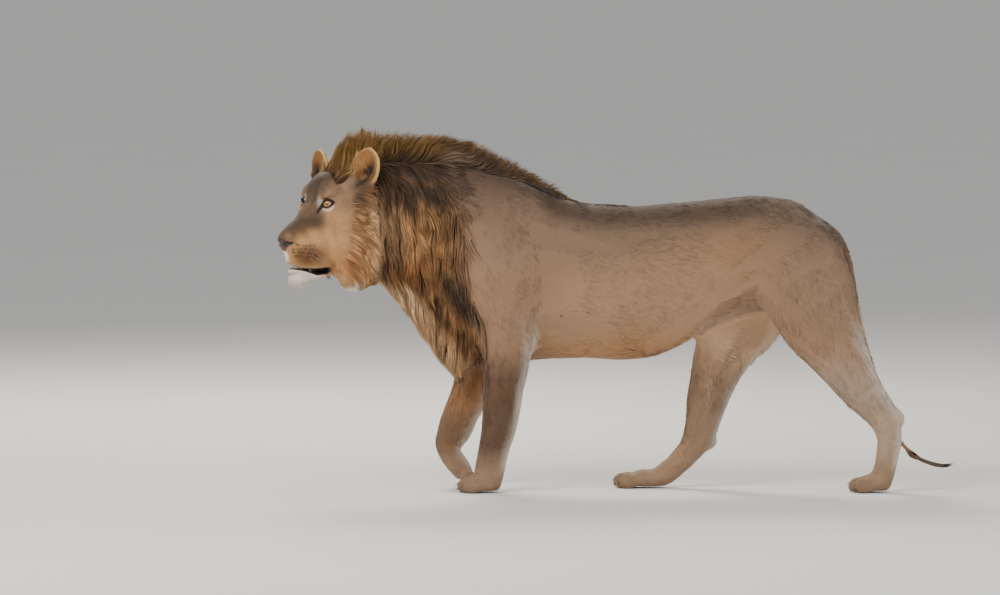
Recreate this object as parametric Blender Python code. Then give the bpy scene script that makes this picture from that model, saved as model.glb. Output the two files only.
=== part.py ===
"""A young male lion, walking, life size.

The body is built from lofts and ellipsoids that follow the muscle masses, out to
the tips of the coat. They are fused, smoothed and simplified into one closed
skin, which is then parted into named pieces by thin cuts.

Metres, +Z up, nose towards -X, the lion's left side towards -Y. The feet stand
at z = 0 and the origin is under the middle of the whole animal.
"""

import math
from collections import namedtuple

import bmesh
import bpy
from mathutils import Matrix, Vector

# ---------------------------------------------------------------- sizes
GAP = 0.0003                  # the thin cut between neighbouring pieces
CRUMB = 0.004                 # loose bits under this size are swept away
VOXEL = 0.0055                # grain at which the masses are fused
TRIANGLES = 5200              # of the whole skin, before it is parted
RING_POINTS = 28              # points round one section of a loft
SPAN_STEPS = 5                # sections interpolated between two stations

NOSE_TIP = Vector((-1.120, -0.270, 0.825))
HEAD_TURN = math.radians(40)  # the head looks towards the lion's left
EYE_CENTRE = (0.166, 0.055, 0.140)   # in head coordinates, y for the right eye
EYE_RADIUS = 0.0195
SOCKET = 1.09                        # corners of the faceted socket, in eye radii
EAR_CENTRE = (0.266, 0.122, 0.249)   # likewise
EAR_RADII = (0.028, 0.058, 0.068)    # thickness, width and height, as half-sizes
EAR_OUTWARD = math.radians(12)       # how far each ear turns out from straight ahead
NECK_CUT = 0.345                     # in head coordinates, behind ears and cheek ruff
SHOULDER_CUT = -0.500                # x of the cut between neck and trunk
LEFT, RIGHT = -1, 1           # signs of y

FINISHES = {                  # colour and roughness
    "coat": ((0.42, 0.29, 0.18), 0.85),
    "mane": ((0.30, 0.19, 0.10), 0.90),
    "skin": ((0.03, 0.025, 0.022), 0.45),
    "amber": ((0.35, 0.16, 0.03), 0.10),
}

HEAD_FRAME = Matrix.Translation(NOSE_TIP) @ Matrix.Rotation(HEAD_TURN, 4, "Z")

# One section of a loft: its centre, the reach above and below it (or behind and
# ahead of it in an upright limb) and the half-width across.
Section = namedtuple("Section", "x y z above below width")


# ---------------------------------------------------------------- sections
def deep(x, top, bottom, width, y=0.0, middle=0.5):
    """A section of a body that runs along X, from its top and bottom heights."""
    z = bottom + middle * (top - bottom)
    return Section(x, y, z, top - z, z - bottom, width)


def limb(x, z, depth, width, y):
    """A section of a limb: depth and width are half-sizes, fore-aft and across."""
    return Section(x, y, z, depth, depth, width)


def between(a, b, c, d, t):
    """Catmull-Rom interpolation of four sections, field by field."""
    return Section(*(
        0.5 * (2 * q + (r - p) * t + (2 * p - 5 * q + 4 * r - s) * t**2 + (3 * q - p - 3 * r + s) * t**3)
        for p, q, r, s in zip(a, b, c, d)
    ))


def refined(stations):
    """The stations with SPAN_STEPS smooth sections in each span."""
    ends = [stations[0], *stations, stations[-1]]
    sections = [
        between(*ends[i:i + 4], step / SPAN_STEPS)
        for i in range(len(stations) - 1)
        for step in range(SPAN_STEPS)
    ]
    return [*sections, stations[-1]]


# ---------------------------------------------------------------- masses
class Masses:
    """Closed overlapping shells, gathered in one mesh before they are fused."""

    def __init__(self):
        self.mesh = bmesh.new()

    def ellipsoid(self, centre, radii, tilt=0.0, frame=Matrix.Identity(4)):
        """An ellipsoid; tilt turns it nose-down about Y, in degrees."""
        place = (
            frame @ Matrix.Translation(centre)
            @ Matrix.Rotation(math.radians(tilt), 4, "Y")
            @ Matrix.Diagonal((*radii, 1.0))
        )
        bmesh.ops.create_uvsphere(self.mesh, u_segments=28, v_segments=18, radius=1.0, matrix=place)

    def pair(self, centre, radii, tilt=0.0, frame=Matrix.Identity(4)):
        """The same ellipsoid on the left and on the right."""
        x, y, z = centre
        for side in (LEFT, RIGHT):
            self.ellipsoid((x, side * y, z), radii, tilt, frame)

    def loft(self, stations, upright=True, squareness=2.0, frame=Matrix.Identity(4)):
        """A closed tube through the stations. Upright sections stand across X;
        the others stand across the tube's own run, in the plane of the limb."""
        sections = refined(stations)
        power = 2.0 / squareness
        rings = []
        for i, s in enumerate(sections):
            before, after = sections[max(i - 1, 0)], sections[min(i + 1, len(sections) - 1)]
            run = Vector((after.x - before.x, 0.0, after.z - before.z)).normalized()
            rise = Vector((0, 0, 1)) if upright else Vector((-run.z, 0.0, run.x))
            ring = []
            for k in range(RING_POINTS):
                angle = math.tau * k / RING_POINTS
                c, n = math.cos(angle), math.sin(angle)
                across = math.copysign(abs(c) ** power, c) * s.width
                reach = s.above if n > 0 else s.below
                up = math.copysign(abs(n) ** power, n) * reach
                point = Vector((s.x, s.y + across, s.z)) + rise * up
                ring.append(self.mesh.verts.new(frame @ point))
            rings.append(ring)
        for first, second in zip(rings, rings[1:]):
            for k in range(RING_POINTS):
                n = (k + 1) % RING_POINTS
                self.mesh.faces.new((first[k], first[n], second[n], second[k]))
        self.mesh.faces.new(rings[0])
        self.mesh.faces.new(rings[-1])

    def object(self, name):
        """The masses as an object, with every face pointing outwards."""
        bmesh.ops.recalc_face_normals(self.mesh, faces=self.mesh.faces)
        data = bpy.data.meshes.new(name)
        self.mesh.to_mesh(data)
        self.mesh.free()
        made = bpy.data.objects.new(name, data)
        bpy.context.scene.collection.objects.link(made)
        return made


# ---------------------------------------------------------------- the animal
def add_trunk(masses):
    """Rib cage, belly and croup, with the crease of the spine left to the coat."""
    masses.loft([
        deep(-0.560, 0.750, 0.560, 0.048),
        deep(-0.535, 0.880, 0.500, 0.090),
        deep(-0.490, 0.985, 0.455, 0.120),
        deep(-0.430, 1.045, 0.425, 0.136),
        deep(-0.360, 1.050, 0.415, 0.152),
        deep(-0.265, 1.000, 0.425, 0.170),
        deep(-0.135, 0.962, 0.430, 0.180),
        deep(0.000, 0.950, 0.424, 0.183),
        deep(0.115, 0.955, 0.436, 0.173),
        deep(0.230, 0.965, 0.490, 0.158, middle=0.48),
        deep(0.330, 0.976, 0.550, 0.146, middle=0.46),
        deep(0.460, 0.984, 0.590, 0.138, middle=0.46),
        deep(0.590, 0.955, 0.605, 0.122, middle=0.48),
        deep(0.655, 0.900, 0.640, 0.094),
        deep(0.700, 0.822, 0.690, 0.052),
    ], squareness=2.25)
    masses.pair((0.47, 0.080, 0.890), (0.100, 0.050, 0.058), tilt=8)     # point of the hip
    masses.pair((0.66, 0.072, 0.80), (0.080, 0.060, 0.110), tilt=-20)    # seat bone
    masses.pair((-0.32, 0.070, 0.965), (0.120, 0.052, 0.060), tilt=14)   # back of the withers
    for side in (LEFT, RIGHT):                                           # flank fold
        masses.loft([
            limb(0.080, 0.497, 0.058, 0.050, side * 0.079),
            limb(0.165, 0.525, 0.058, 0.052, side * 0.088),
            limb(0.235, 0.565, 0.060, 0.054, side * 0.095),
            limb(0.300, 0.615, 0.060, 0.056, side * 0.099),
            limb(0.380, 0.680, 0.066, 0.056, side * 0.101),
            limb(0.470, 0.740, 0.070, 0.056, side * 0.101),
        ], upright=False)


def add_neck(masses):
    """Neck with the young mane's full depth, its chest lock and its crest."""
    masses.loft([
        deep(-0.900, 1.085, 0.760, 0.090, y=-0.100),
        deep(-0.835, 1.120, 0.705, 0.125, y=-0.065),
        deep(-0.760, 1.130, 0.655, 0.145, y=-0.040),
        deep(-0.680, 1.132, 0.585, 0.158, y=-0.022),
        deep(-0.600, 1.130, 0.540, 0.166, y=-0.010),
        deep(-0.530, 1.118, 0.500, 0.164),
        deep(-0.450, 1.085, 0.480, 0.145),
        deep(-0.380, 1.055, 0.480, 0.110),
    ])
    masses.loft([                                                       # chest mane
        deep(-0.790, 0.780, 0.672, 0.060, y=-0.050),
        deep(-0.730, 0.780, 0.600, 0.085, y=-0.035),
        deep(-0.670, 0.760, 0.515, 0.095, y=-0.022),
        deep(-0.610, 0.720, 0.432, 0.090, y=-0.010),
        deep(-0.560, 0.660, 0.365, 0.080),
        deep(-0.530, 0.620, 0.354, 0.072),
        deep(-0.495, 0.580, 0.405, 0.072),
        deep(-0.440, 0.560, 0.435, 0.080),
    ])
    masses.loft([                                                       # crest
        deep(-0.945, 1.095, 1.020, 0.030, y=-0.128),
        deep(-0.925, 1.155, 1.020, 0.042, y=-0.112),
        deep(-0.900, 1.186, 1.020, 0.052, y=-0.095),
        deep(-0.845, 1.190, 1.020, 0.062, y=-0.064),
        deep(-0.735, 1.188, 1.020, 0.070, y=-0.036),
        deep(-0.600, 1.178, 1.020, 0.070, y=-0.012),
        deep(-0.500, 1.148, 1.000, 0.064),
        deep(-0.400, 1.108, 0.960, 0.052),
        deep(-0.330, 1.078, 0.930, 0.040),
        deep(-0.265, 1.036, 0.900, 0.030),
        deep(-0.205, 0.992, 0.880, 0.020),
        deep(-0.160, 0.965, 0.880, 0.012),
    ])


def add_foreleg(masses, side, forearm):
    """Shoulder and upper arm, which both sides share in mirror, then the forearm."""
    shoulder_to_elbow = [
        limb(-0.388, 1.035, 0.045, 0.028, side * 0.053),
        limb(-0.394, 0.960, 0.080, 0.040, side * 0.084),
        limb(-0.398, 0.860, 0.108, 0.052, side * 0.110),
        limb(-0.400, 0.750, 0.122, 0.060, side * 0.127),
    ]
    masses.loft([*shoulder_to_elbow, *forearm], upright=False, squareness=2.2)


def add_toes(masses, heel, toe_tips, side_y, spread, radii, tilt=0.0):
    """Four toes side by side, the outer two set back."""
    for place, setback in ((-1.5, 0.016), (-0.5, 0.0), (0.5, 0.0), (1.5, 0.016)):
        centre = Vector(toe_tips) + (Vector(heel) - Vector(toe_tips)).normalized() * (setback + radii[0])
        masses.ellipsoid((centre.x, side_y + place * spread, centre.z), radii, tilt)


def add_forelegs(masses):
    """The left foreleg bears weight; the right one has its wrist bent, toes down."""
    y = LEFT
    add_foreleg(masses, LEFT, [
        limb(-0.392, 0.630, 0.120, 0.064, y * 0.134),
        limb(-0.378, 0.515, 0.102, 0.064, y * 0.134),
        limb(-0.376, 0.432, 0.085, 0.060, y * 0.129),
        limb(-0.384, 0.363, 0.076, 0.054, y * 0.122),
        limb(-0.391, 0.297, 0.071, 0.050, y * 0.117),
        limb(-0.398, 0.231, 0.066, 0.047, y * 0.112),
        limb(-0.413, 0.165, 0.060, 0.045, y * 0.107),
        limb(-0.424, 0.115, 0.057, 0.047, y * 0.105),
        limb(-0.433, 0.066, 0.056, 0.052, y * 0.103),
        limb(-0.443, 0.022, 0.054, 0.054, y * 0.103),
    ])
    masses.ellipsoid((-0.325, y * 0.129, 0.455), (0.030, 0.035, 0.050))   # point of the elbow
    masses.ellipsoid((-0.455, y * 0.103, 0.028), (0.070, 0.058, 0.042))
    add_toes(masses, (-0.388, 0, 0.024), (-0.540, 0, 0.024), y * 0.103, 0.0285, (0.036, 0.020, 0.029))
    masses.ellipsoid((-0.440, y * 0.057, 0.090), (0.020, 0.012, 0.022))   # dewclaw

    y = RIGHT
    add_foreleg(masses, RIGHT, [
        limb(-0.420, 0.630, 0.115, 0.064, y * 0.134),
        limb(-0.444, 0.528, 0.096, 0.064, y * 0.134),
        limb(-0.452, 0.455, 0.084, 0.060, y * 0.129),
        limb(-0.471, 0.380, 0.077, 0.054, y * 0.124),
        limb(-0.495, 0.314, 0.071, 0.050, y * 0.119),
        limb(-0.524, 0.248, 0.067, 0.046, y * 0.114),
        limb(-0.548, 0.190, 0.064, 0.045, y * 0.112),
        limb(-0.571, 0.148, 0.050, 0.047, y * 0.110),
        limb(-0.560, 0.106, 0.043, 0.050, y * 0.107),
        limb(-0.531, 0.068, 0.041, 0.053, y * 0.103),
        limb(-0.508, 0.040, 0.036, 0.052, y * 0.103),
    ])
    masses.ellipsoid((-0.405, y * 0.129, 0.475), (0.030, 0.035, 0.050))
    add_toes(masses, (-0.540, 0, 0.085), (-0.472, 0, -0.006), y * 0.103, 0.0270, (0.034, 0.019, 0.024), tilt=52)


def add_hindleg(masses, sections, hock, paw, toes_from, toes_to, side):
    """One hind leg: thigh to toes, with the point of the hock and the paw."""
    masses.loft(sections, upright=False, squareness=2.2)
    masses.ellipsoid(*hock)
    masses.ellipsoid(*paw)
    add_toes(masses, toes_from, toes_to, side * 0.095, 0.0270, (0.034, 0.019, 0.028))


def add_hindlegs(masses):
    """The left hind leg pushes off behind; the right one is planted forward."""
    y = LEFT
    add_hindleg(
        masses,
        [
            limb(0.560, 0.890, 0.120, 0.045, y * 0.082),
            limb(0.575, 0.790, 0.158, 0.062, y * 0.105),
            limb(0.609, 0.682, 0.170, 0.072, y * 0.116),
            limb(0.659, 0.564, 0.147, 0.074, y * 0.117),
            limb(0.726, 0.447, 0.105, 0.066, y * 0.112),
            limb(0.792, 0.341, 0.079, 0.054, y * 0.103),
            limb(0.842, 0.279, 0.064, 0.047, y * 0.098),
            limb(0.874, 0.231, 0.056, 0.042, y * 0.095),
            limb(0.886, 0.182, 0.050, 0.038, y * 0.095),
            limb(0.880, 0.125, 0.045, 0.038, y * 0.095),
            limb(0.868, 0.066, 0.044, 0.042, y * 0.095),
            limb(0.850, 0.022, 0.046, 0.048, y * 0.095),
        ],
        hock=((0.914, y * 0.095, 0.252), (0.028, 0.026, 0.038), -30),
        paw=((0.832, y * 0.095, 0.028), (0.066, 0.054, 0.040)),
        toes_from=(0.860, 0, 0.024), toes_to=(0.750, 0, 0.024), side=y,
    )
    y = RIGHT
    add_hindleg(
        masses,
        [
            limb(0.530, 0.890, 0.120, 0.045, y * 0.082),
            limb(0.502, 0.780, 0.155, 0.062, y * 0.105),
            limb(0.458, 0.665, 0.158, 0.072, y * 0.116),
            limb(0.404, 0.556, 0.142, 0.074, y * 0.117),
            limb(0.354, 0.475, 0.114, 0.068, y * 0.112),
            limb(0.320, 0.396, 0.094, 0.060, y * 0.107),
            limb(0.290, 0.300, 0.078, 0.050, y * 0.101),
            limb(0.275, 0.231, 0.067, 0.045, y * 0.098),
            limb(0.258, 0.172, 0.059, 0.041, y * 0.095),
            limb(0.229, 0.122, 0.050, 0.038, y * 0.095),
            limb(0.187, 0.078, 0.045, 0.039, y * 0.095),
            limb(0.148, 0.046, 0.044, 0.046, y * 0.095),
            limb(0.110, 0.028, 0.036, 0.050, y * 0.095),
        ],
        hock=((0.303, y * 0.095, 0.152), (0.026, 0.025, 0.034), 20),
        paw=((0.085, y * 0.095, 0.028), (0.072, 0.056, 0.041)),
        toes_from=(0.130, 0, 0.024), toes_to=(-0.024, 0, 0.024), side=y,
    )


def add_head(masses):
    """Skull, muzzle, jaw and ruff, in head coordinates: nose tip at the origin."""
    f = HEAD_FRAME
    masses.ellipsoid((0.250, 0, 0.140), (0.118, 0.108, 0.120), frame=f)            # brain case
    masses.ellipsoid((0.200, 0, 0.168), (0.075, 0.076, 0.070), tilt=-30, frame=f)  # forehead
    masses.pair((0.168, 0.054, 0.174), (0.034, 0.032, 0.026), tilt=-30, frame=f)   # brow
    masses.pair((0.262, 0.078, 0.182), (0.062, 0.052, 0.052), frame=f)             # seat of the ear
    masses.pair((0.225, 0.084, 0.075), (0.085, 0.050, 0.085), tilt=10, frame=f)    # cheekbone
    masses.pair((0.250, 0.086, -0.005), (0.095, 0.060, 0.105), frame=f)            # jaw muscle
    masses.loft([                                                                  # bridge of the nose
        deep(0.001, 0.030, 0.010, 0.016),
        deep(0.006, 0.042, -0.004, 0.027),
        deep(0.018, 0.054, -0.020, 0.032),
        deep(0.042, 0.072, -0.045, 0.037),
        deep(0.070, 0.092, -0.060, 0.042),
        deep(0.100, 0.124, -0.065, 0.052),
        deep(0.130, 0.160, -0.070, 0.066),
        deep(0.165, 0.186, -0.075, 0.084),
        deep(0.215, 0.204, -0.080, 0.098),
    ], squareness=2.5, frame=f)
    masses.ellipsoid((0.072, 0, -0.038), (0.050, 0.038, 0.036), frame=f)           # front of the lip
    masses.pair((0.090, 0.030, -0.036), (0.046, 0.035, 0.042), frame=f)            # whisker pad
    masses.pair((0.125, 0.044, -0.050), (0.055, 0.034, 0.036), tilt=-4, frame=f)   # upper lip
    masses.loft([                                                                  # lower jaw
        deep(0.050, -0.094, -0.120, 0.012),
        deep(0.060, -0.084, -0.136, 0.026),
        deep(0.082, -0.080, -0.142, 0.036),
        deep(0.115, -0.076, -0.130, 0.043),
        deep(0.160, -0.066, -0.110, 0.055),
        deep(0.220, -0.050, -0.100, 0.075),
    ], squareness=2.4, frame=f)
    masses.pair((0.176, 0.058, 0.132), (0.034, 0.034, 0.034), frame=f)             # round the eye
    masses.ellipsoid((0.238, -0.094, -0.086), (0.072, 0.050, 0.078), tilt=-12, frame=f)  # cheek ruff
    masses.ellipsoid((0.246, 0.094, -0.066), (0.068, 0.050, 0.066), tilt=-12, frame=f)
    masses.pair((0.300, 0.108, -0.030), (0.052, 0.048, 0.115), frame=f)            # ruff behind it
    masses.ellipsoid((0.290, 0, 0.010), (0.090, 0.110, 0.150), frame=f)            # throat
    for side in (LEFT, RIGHT):
        place = ear_frame(side)
        masses.ellipsoid((0, 0, 0), EAR_RADII, frame=place)
        masses.ellipsoid((0.004, 0, -0.048), (0.034, 0.044, 0.044), frame=place)   # root


def ear_frame(side):
    """The middle of an ear: x through its thickness, y across, z up to its rim."""
    x, y, z = EAR_CENTRE
    return (
        HEAD_FRAME @ Matrix.Translation((x, side * y, z - side * 0.008))
        @ Matrix.Rotation(-side * EAR_OUTWARD, 4, "Z")
        @ Matrix.Rotation(math.radians(side * -14), 4, "X")
    )


def add_tail(masses):
    """The tail hangs close behind the haunches and lifts its tuft at the end."""
    path = [
        (0.610, 0.000, 0.910, 0.036), (0.670, 0.000, 0.872, 0.031), (0.718, 0.000, 0.829, 0.025),
        (0.749, 0.000, 0.770, 0.021), (0.767, 0.004, 0.690, 0.019), (0.783, 0.010, 0.590, 0.018),
        (0.806, 0.014, 0.500, 0.017), (0.832, 0.014, 0.410, 0.017), (0.860, 0.012, 0.323, 0.017),
        (0.894, 0.004, 0.215, 0.017),
        (0.934, -0.004, 0.147, 0.017), (0.982, -0.008, 0.117, 0.020), (1.018, -0.008, 0.110, 0.027),
        (1.062, -0.008, 0.106, 0.035), (1.100, -0.008, 0.106, 0.030), (1.127, -0.008, 0.107, 0.010),
    ]
    masses.loft([limb(x, z, radius, radius, y) for x, y, z, radius in path], upright=False)


# ---------------------------------------------------------------- skin
def evaluated_copy(source, name):
    """A new plain mesh object of what the source's modifiers make."""
    bpy.context.view_layer.update()
    graph = bpy.context.evaluated_depsgraph_get()
    data = bpy.data.meshes.new_from_object(source.evaluated_get(graph), depsgraph=graph)
    made = bpy.data.objects.new(name, data)
    bpy.context.scene.collection.objects.link(made)
    return made


def removed(*objects):
    for one in objects:
        bpy.data.objects.remove(one, do_unlink=True)


def ramp(value, low, high):
    """0 below low, 1 above high, straight between them."""
    return min(max((value - low) / (high - low), 0.0), 1.0)


def weighted(thing, name, head, feet, tail, body):
    """A vertex group with one weight per part of the body, blended between them."""
    group = thing.vertex_groups.new(name=name)
    to_head = HEAD_FRAME.inverted()
    for vertex in thing.data.vertices:
        x, y, z = vertex.co
        weight = feet + (body - feet) * ramp(z, 0.30, 0.55) * (1.0 - 0.5 * ramp(z, 1.02, 1.12))
        weight = head + (weight - head) * ramp((to_head @ vertex.co).x, 0.28, 0.42)
        if x > 0.70 and abs(y) < 0.055:
            weight = tail
        group.add([vertex.index], weight, "REPLACE")
    return group.name


def fused_skin(masses):
    """The masses as one closed skin: fused, smoothed and simplified."""
    raw = masses.object("raw")
    remesh = raw.modifiers.new("fuse", "REMESH")
    remesh.mode = "VOXEL"
    remesh.voxel_size = VOXEL
    dense = evaluated_copy(raw, "dense")
    removed(raw)
    smooth = dense.modifiers.new("smooth", "SMOOTH")
    smooth.factor = 0.5
    smooth.iterations = 130
    smooth.vertex_group = weighted(dense, "soft", head=0.16, feet=0.08, tail=0.06, body=1.0)
    simplify = dense.modifiers.new("simplify", "DECIMATE")
    simplify.ratio = TRIANGLES / (2 * len(dense.data.polygons))
    simplify.vertex_group = weighted(dense, "plain", head=0.86, feet=0.80, tail=0.86, body=1.0)
    simplify.vertex_group_factor = 1.0
    simplify.use_collapse_triangulate = True
    skin = evaluated_copy(dense, "skin")
    removed(dense)
    return skin


# ---------------------------------------------------------------- cuts
def cutter_object(mesh):
    """A cutter object of a bmesh, which it frees."""
    bmesh.ops.recalc_face_normals(mesh, faces=mesh.faces)
    data = bpy.data.meshes.new("cutter")
    mesh.to_mesh(data)
    mesh.free()
    made = bpy.data.objects.new("cutter", data)
    bpy.context.scene.collection.objects.link(made)
    return made


def block(low, high, grow=0.0, frame=Matrix.Identity(4)):
    """A box cutter between two corners, grown on every side."""
    low, high = Vector(low), Vector(high)
    mesh = bmesh.new()
    place = Matrix.Translation((low + high) / 2)
    size = Matrix.Diagonal((*(high - low + Vector((2, 2, 2)) * grow), 1.0))
    bmesh.ops.create_cube(mesh, size=1.0, matrix=frame @ place @ size)
    return cutter_object(mesh)


def ball(centre, radii, grow=0.0, frame=Matrix.Identity(4), fineness=3):
    """An ellipsoid cutter, grown on every side."""
    mesh = bmesh.new()
    place = Matrix.Translation(centre) @ Matrix.Diagonal((*(r + grow for r in radii), 1.0))
    bmesh.ops.create_icosphere(mesh, subdivisions=fineness, radius=1.0, matrix=frame @ place)
    return cutter_object(mesh)


def grown(outline, by):
    """An anticlockwise outline with every edge shifted outwards by the same amount."""
    corners = [Vector(corner) for corner in outline]
    shifted = []
    for i, corner in enumerate(corners):
        arriving = (corner - corners[i - 1]).normalized()
        leaving = (corners[(i + 1) % len(corners)] - corner).normalized()
        out = Vector((arriving.y + leaving.y, -arriving.x - leaving.x))
        shifted.append(corner + out * by / (1 + arriving.dot(leaving)))
    return shifted


def prism(outline, start, end, grow=0.0, frame=Matrix.Identity(4)):
    """A prism cutter: an anticlockwise outline of (x, z) corners, drawn along Y."""
    mesh = bmesh.new()
    rings = [
        [mesh.verts.new(frame @ Vector((x, y, z))) for x, z in grown(outline, grow)]
        for y in (start - grow, end + grow)
    ]
    for ring in rings:
        mesh.faces.new(ring)
    for i in range(len(outline)):
        mesh.faces.new((rings[0][i - 1], rings[0][i], rings[1][i], rings[1][i - 1]))
    return cutter_object(mesh)


def cut(target, cutter, operation):
    """Applies one Boolean to target and removes the cutter."""
    step = target.modifiers.new(operation, "BOOLEAN")
    step.operation = operation
    step.object = cutter
    made = evaluated_copy(target, target.name)
    target.modifiers.clear()
    target.data = made.data
    removed(made, cutter)


def islands(mesh):
    """The separate shells of a bmesh, each as a list of its vertices."""
    left = set(mesh.verts)
    shells = []
    while left:
        shell = [left.pop()]
        for vertex in shell:
            for edge in vertex.link_edges:
                other = edge.other_vert(vertex)
                if other in left:
                    left.remove(other)
                    shell.append(other)
        shells.append(shell)
    return shells


def swept(thing):
    """Removes crumbs smaller than CRUMB that a cut has left loose."""
    mesh = bmesh.new()
    mesh.from_mesh(thing.data)
    for shell in islands(mesh):
        size = max(max(v.co[i] for v in shell) - min(v.co[i] for v in shell) for i in range(3))
        if size < CRUMB:
            bmesh.ops.delete(mesh, geom=shell, context="VERTS")
    mesh.to_mesh(thing.data)
    mesh.free()


def part_off(body, name, finish, region):
    """Takes the part of body inside a region as its own piece. region(grow) makes
    the cutter; body loses a slightly larger one, which leaves the thin cut."""
    piece = body.copy()
    piece.data = body.data.copy()
    piece.name = name
    bpy.context.scene.collection.objects.link(piece)
    cut(piece, region(0.0), "INTERSECT")
    cut(body, region(GAP), "DIFFERENCE")
    for one in (piece, body):
        swept(one)
    dress(piece, finish)
    return piece


# ---------------------------------------------------------------- finish
def dress(piece, finish):
    """Gives a piece a material of its own and smooth shading."""
    colour, roughness = FINISHES[finish]
    made = bpy.data.materials.new(f"{piece.name}_{finish}")
    made.use_nodes = True
    shader = made.node_tree.nodes["Principled BSDF"]
    shader.inputs["Base Color"].default_value = (*colour, 1.0)
    shader.inputs["Roughness"].default_value = roughness
    made.diffuse_color = (*colour, 1.0)
    piece.data.materials.clear()
    piece.data.materials.append(made)
    piece.data.shade_smooth()
    piece.data.set_sharp_from_angle(angle=math.radians(50))


# ---------------------------------------------------------------- parting
def set_eyes(body):
    """Eyeballs in sockets a little larger than they are, behind almond openings."""
    x, y, z = EYE_CENTRE
    for side, name in ((LEFT, "eye_left"), (RIGHT, "eye_right")):
        centre = (x, side * y, z)
        opening = (
            HEAD_FRAME @ Matrix.Translation(centre)
            @ Matrix.Rotation(side * math.radians(-26), 4, "Z")
            @ Matrix.Rotation(side * math.radians(12), 4, "X")
        )
        almond = ball((-0.022, 0, 0), (0.025, 0.0205, 0.0135), frame=opening, fineness=2)
        cut(body, almond, "DIFFERENCE")
        cut(body, ball(centre, (EYE_RADIUS * SOCKET,) * 3, frame=HEAD_FRAME, fineness=2), "DIFFERENCE")
        eye = ball(centre, (EYE_RADIUS,) * 3, frame=HEAD_FRAME)
        eye.name = name
        dress(eye, "amber")


def part_head(body):
    """Nose, lower jaw and ears, then the head itself."""
    f = HEAD_FRAME
    mouth = [
        (-0.02, -0.090), (0.05, -0.096), (0.11, -0.100), (0.162, -0.090),
        (0.162, -0.076), (0.11, -0.083), (0.05, -0.080), (-0.02, -0.080),
    ]
    cut(body, prism(mouth, -0.075, 0.075, frame=f), "DIFFERENCE")
    part_off(body, "nose", "skin", lambda grow: ball((0.012, 0, 0.014), (0.020, 0.038, 0.024), grow, f))
    part_off(body, "lower_jaw", "coat", lambda grow: block(
        (-0.05, -0.075, -0.30), (0.158, 0.075, -0.087), grow, f))
    for side, name in ((LEFT, "ear_left"), (RIGHT, "ear_right")):
        place = ear_frame(side)
        cup = ball((-0.028, 0, 0.006), (0.035, 0.045, 0.052), frame=place, fineness=2)
        cut(body, cup, "DIFFERENCE")
        part_off(body, name, "coat", lambda grow: ball((0, 0, 0.012), (0.050, 0.062, 0.067), grow, place))
    part_off(body, "head", "coat", lambda grow: block((-0.3, -0.5, -0.6), (NECK_CUT, 0.5, 0.6), grow, f))


def part_limbs(body):
    """Paws first, then the legs above them, cut at the armpit and the thigh."""
    for name, x0, x1, top, side in (
        ("forepaw_left", -0.62, -0.30, 0.090, LEFT),
        ("forepaw_right", -0.62, -0.40, 0.112, RIGHT),
        ("hindpaw_left", 0.68, 0.98, 0.085, LEFT),
        ("hindpaw_right", -0.10, 0.30, 0.088, RIGHT),
    ):
        inner, outer = sorted((side * 0.02, side * 0.30))
        part_off(body, name, "coat", lambda grow: block((x0, inner, -0.1), (x1, outer, top), grow))
    armpit = [(0.02, -0.10), (0.40, -0.10), (0.40, 0.68), (0.02, 0.30)]
    for name, x0, x1, side in (
        ("foreleg_left", -0.52, -0.25, LEFT),
        ("foreleg_right", -0.72, -0.25, RIGHT),
    ):
        start, end = sorted((-side * x0, -side * x1))
        crosswise = Matrix.Rotation(side * math.tau / 4, 4, "Z")
        part_off(body, name, "coat", lambda grow: prism(armpit, start, end, grow, crosswise))
    for name, thigh, side in (
        ("hindleg_left", [(0.44, -0.10), (1.00, -0.10), (1.00, 0.57), (0.44, 0.57)], LEFT),
        ("hindleg_right", [(0.05, -0.10), (0.66, -0.10), (0.66, 0.63), (0.12, 0.43), (0.05, 0.38)], RIGHT),
    ):
        inner, outer = sorted((side * 0.036, side * 0.35))
        part_off(body, name, "coat", lambda grow: prism(thigh, inner, outer, grow))


def centred():
    """Moves the whole animal so that the origin is under the middle of its box."""
    pieces = [one for one in bpy.data.objects if one.type == "MESH"]
    corners = [one.matrix_world @ v.co for one in pieces for v in one.data.vertices]
    x = (min(c.x for c in corners) + max(c.x for c in corners)) / 2
    y = (min(c.y for c in corners) + max(c.y for c in corners)) / 2
    for one in pieces:
        one.data.transform(Matrix.Translation((-x, -y, 0)))


# ---------------------------------------------------------------- build
def build():
    for old in list(bpy.data.objects):
        bpy.data.objects.remove(old, do_unlink=True)

    masses = Masses()
    add_trunk(masses)
    add_neck(masses)
    add_forelegs(masses)
    add_hindlegs(masses)
    add_head(masses)
    add_tail(masses)
    body = fused_skin(masses)

    cut(body, block((-2, -1, -0.5), (2, 1, 0.0)), "DIFFERENCE")   # flat soles on the floor
    set_eyes(body)
    part_head(body)
    part_limbs(body)
    part_off(body, "tail_tuft", "mane", lambda grow: block((0.975, -0.2, 0.0), (1.3, 0.2, 0.3), grow))
    part_off(body, "tail", "coat", lambda grow: block((0.714, -0.036, 0.0), (1.1, 0.036, 0.735), grow))
    part_off(body, "neck", "mane", lambda grow: block((-1.3, -0.6, 0.2), (SHOULDER_CUT, 0.6, 1.4), grow))
    body.name = "trunk"
    dress(body, "coat")
    centred()


build()
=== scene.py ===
"""A young male lion, walking, life size: one skin, its coat and mane, eyes, nose and whiskers.

The skin is drawn through the solids of the frame, inside them by the depth of the
coat. Tufts and locks of solid hair grow from it and follow the lie of the coat, out
to the solids' outline. Metres, +Z up, nose towards -X, the lion's left towards -Y.
"""
import logging
import math
from collections.abc import Callable
from dataclasses import dataclass, field
from enum import Enum
from functools import partial

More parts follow.
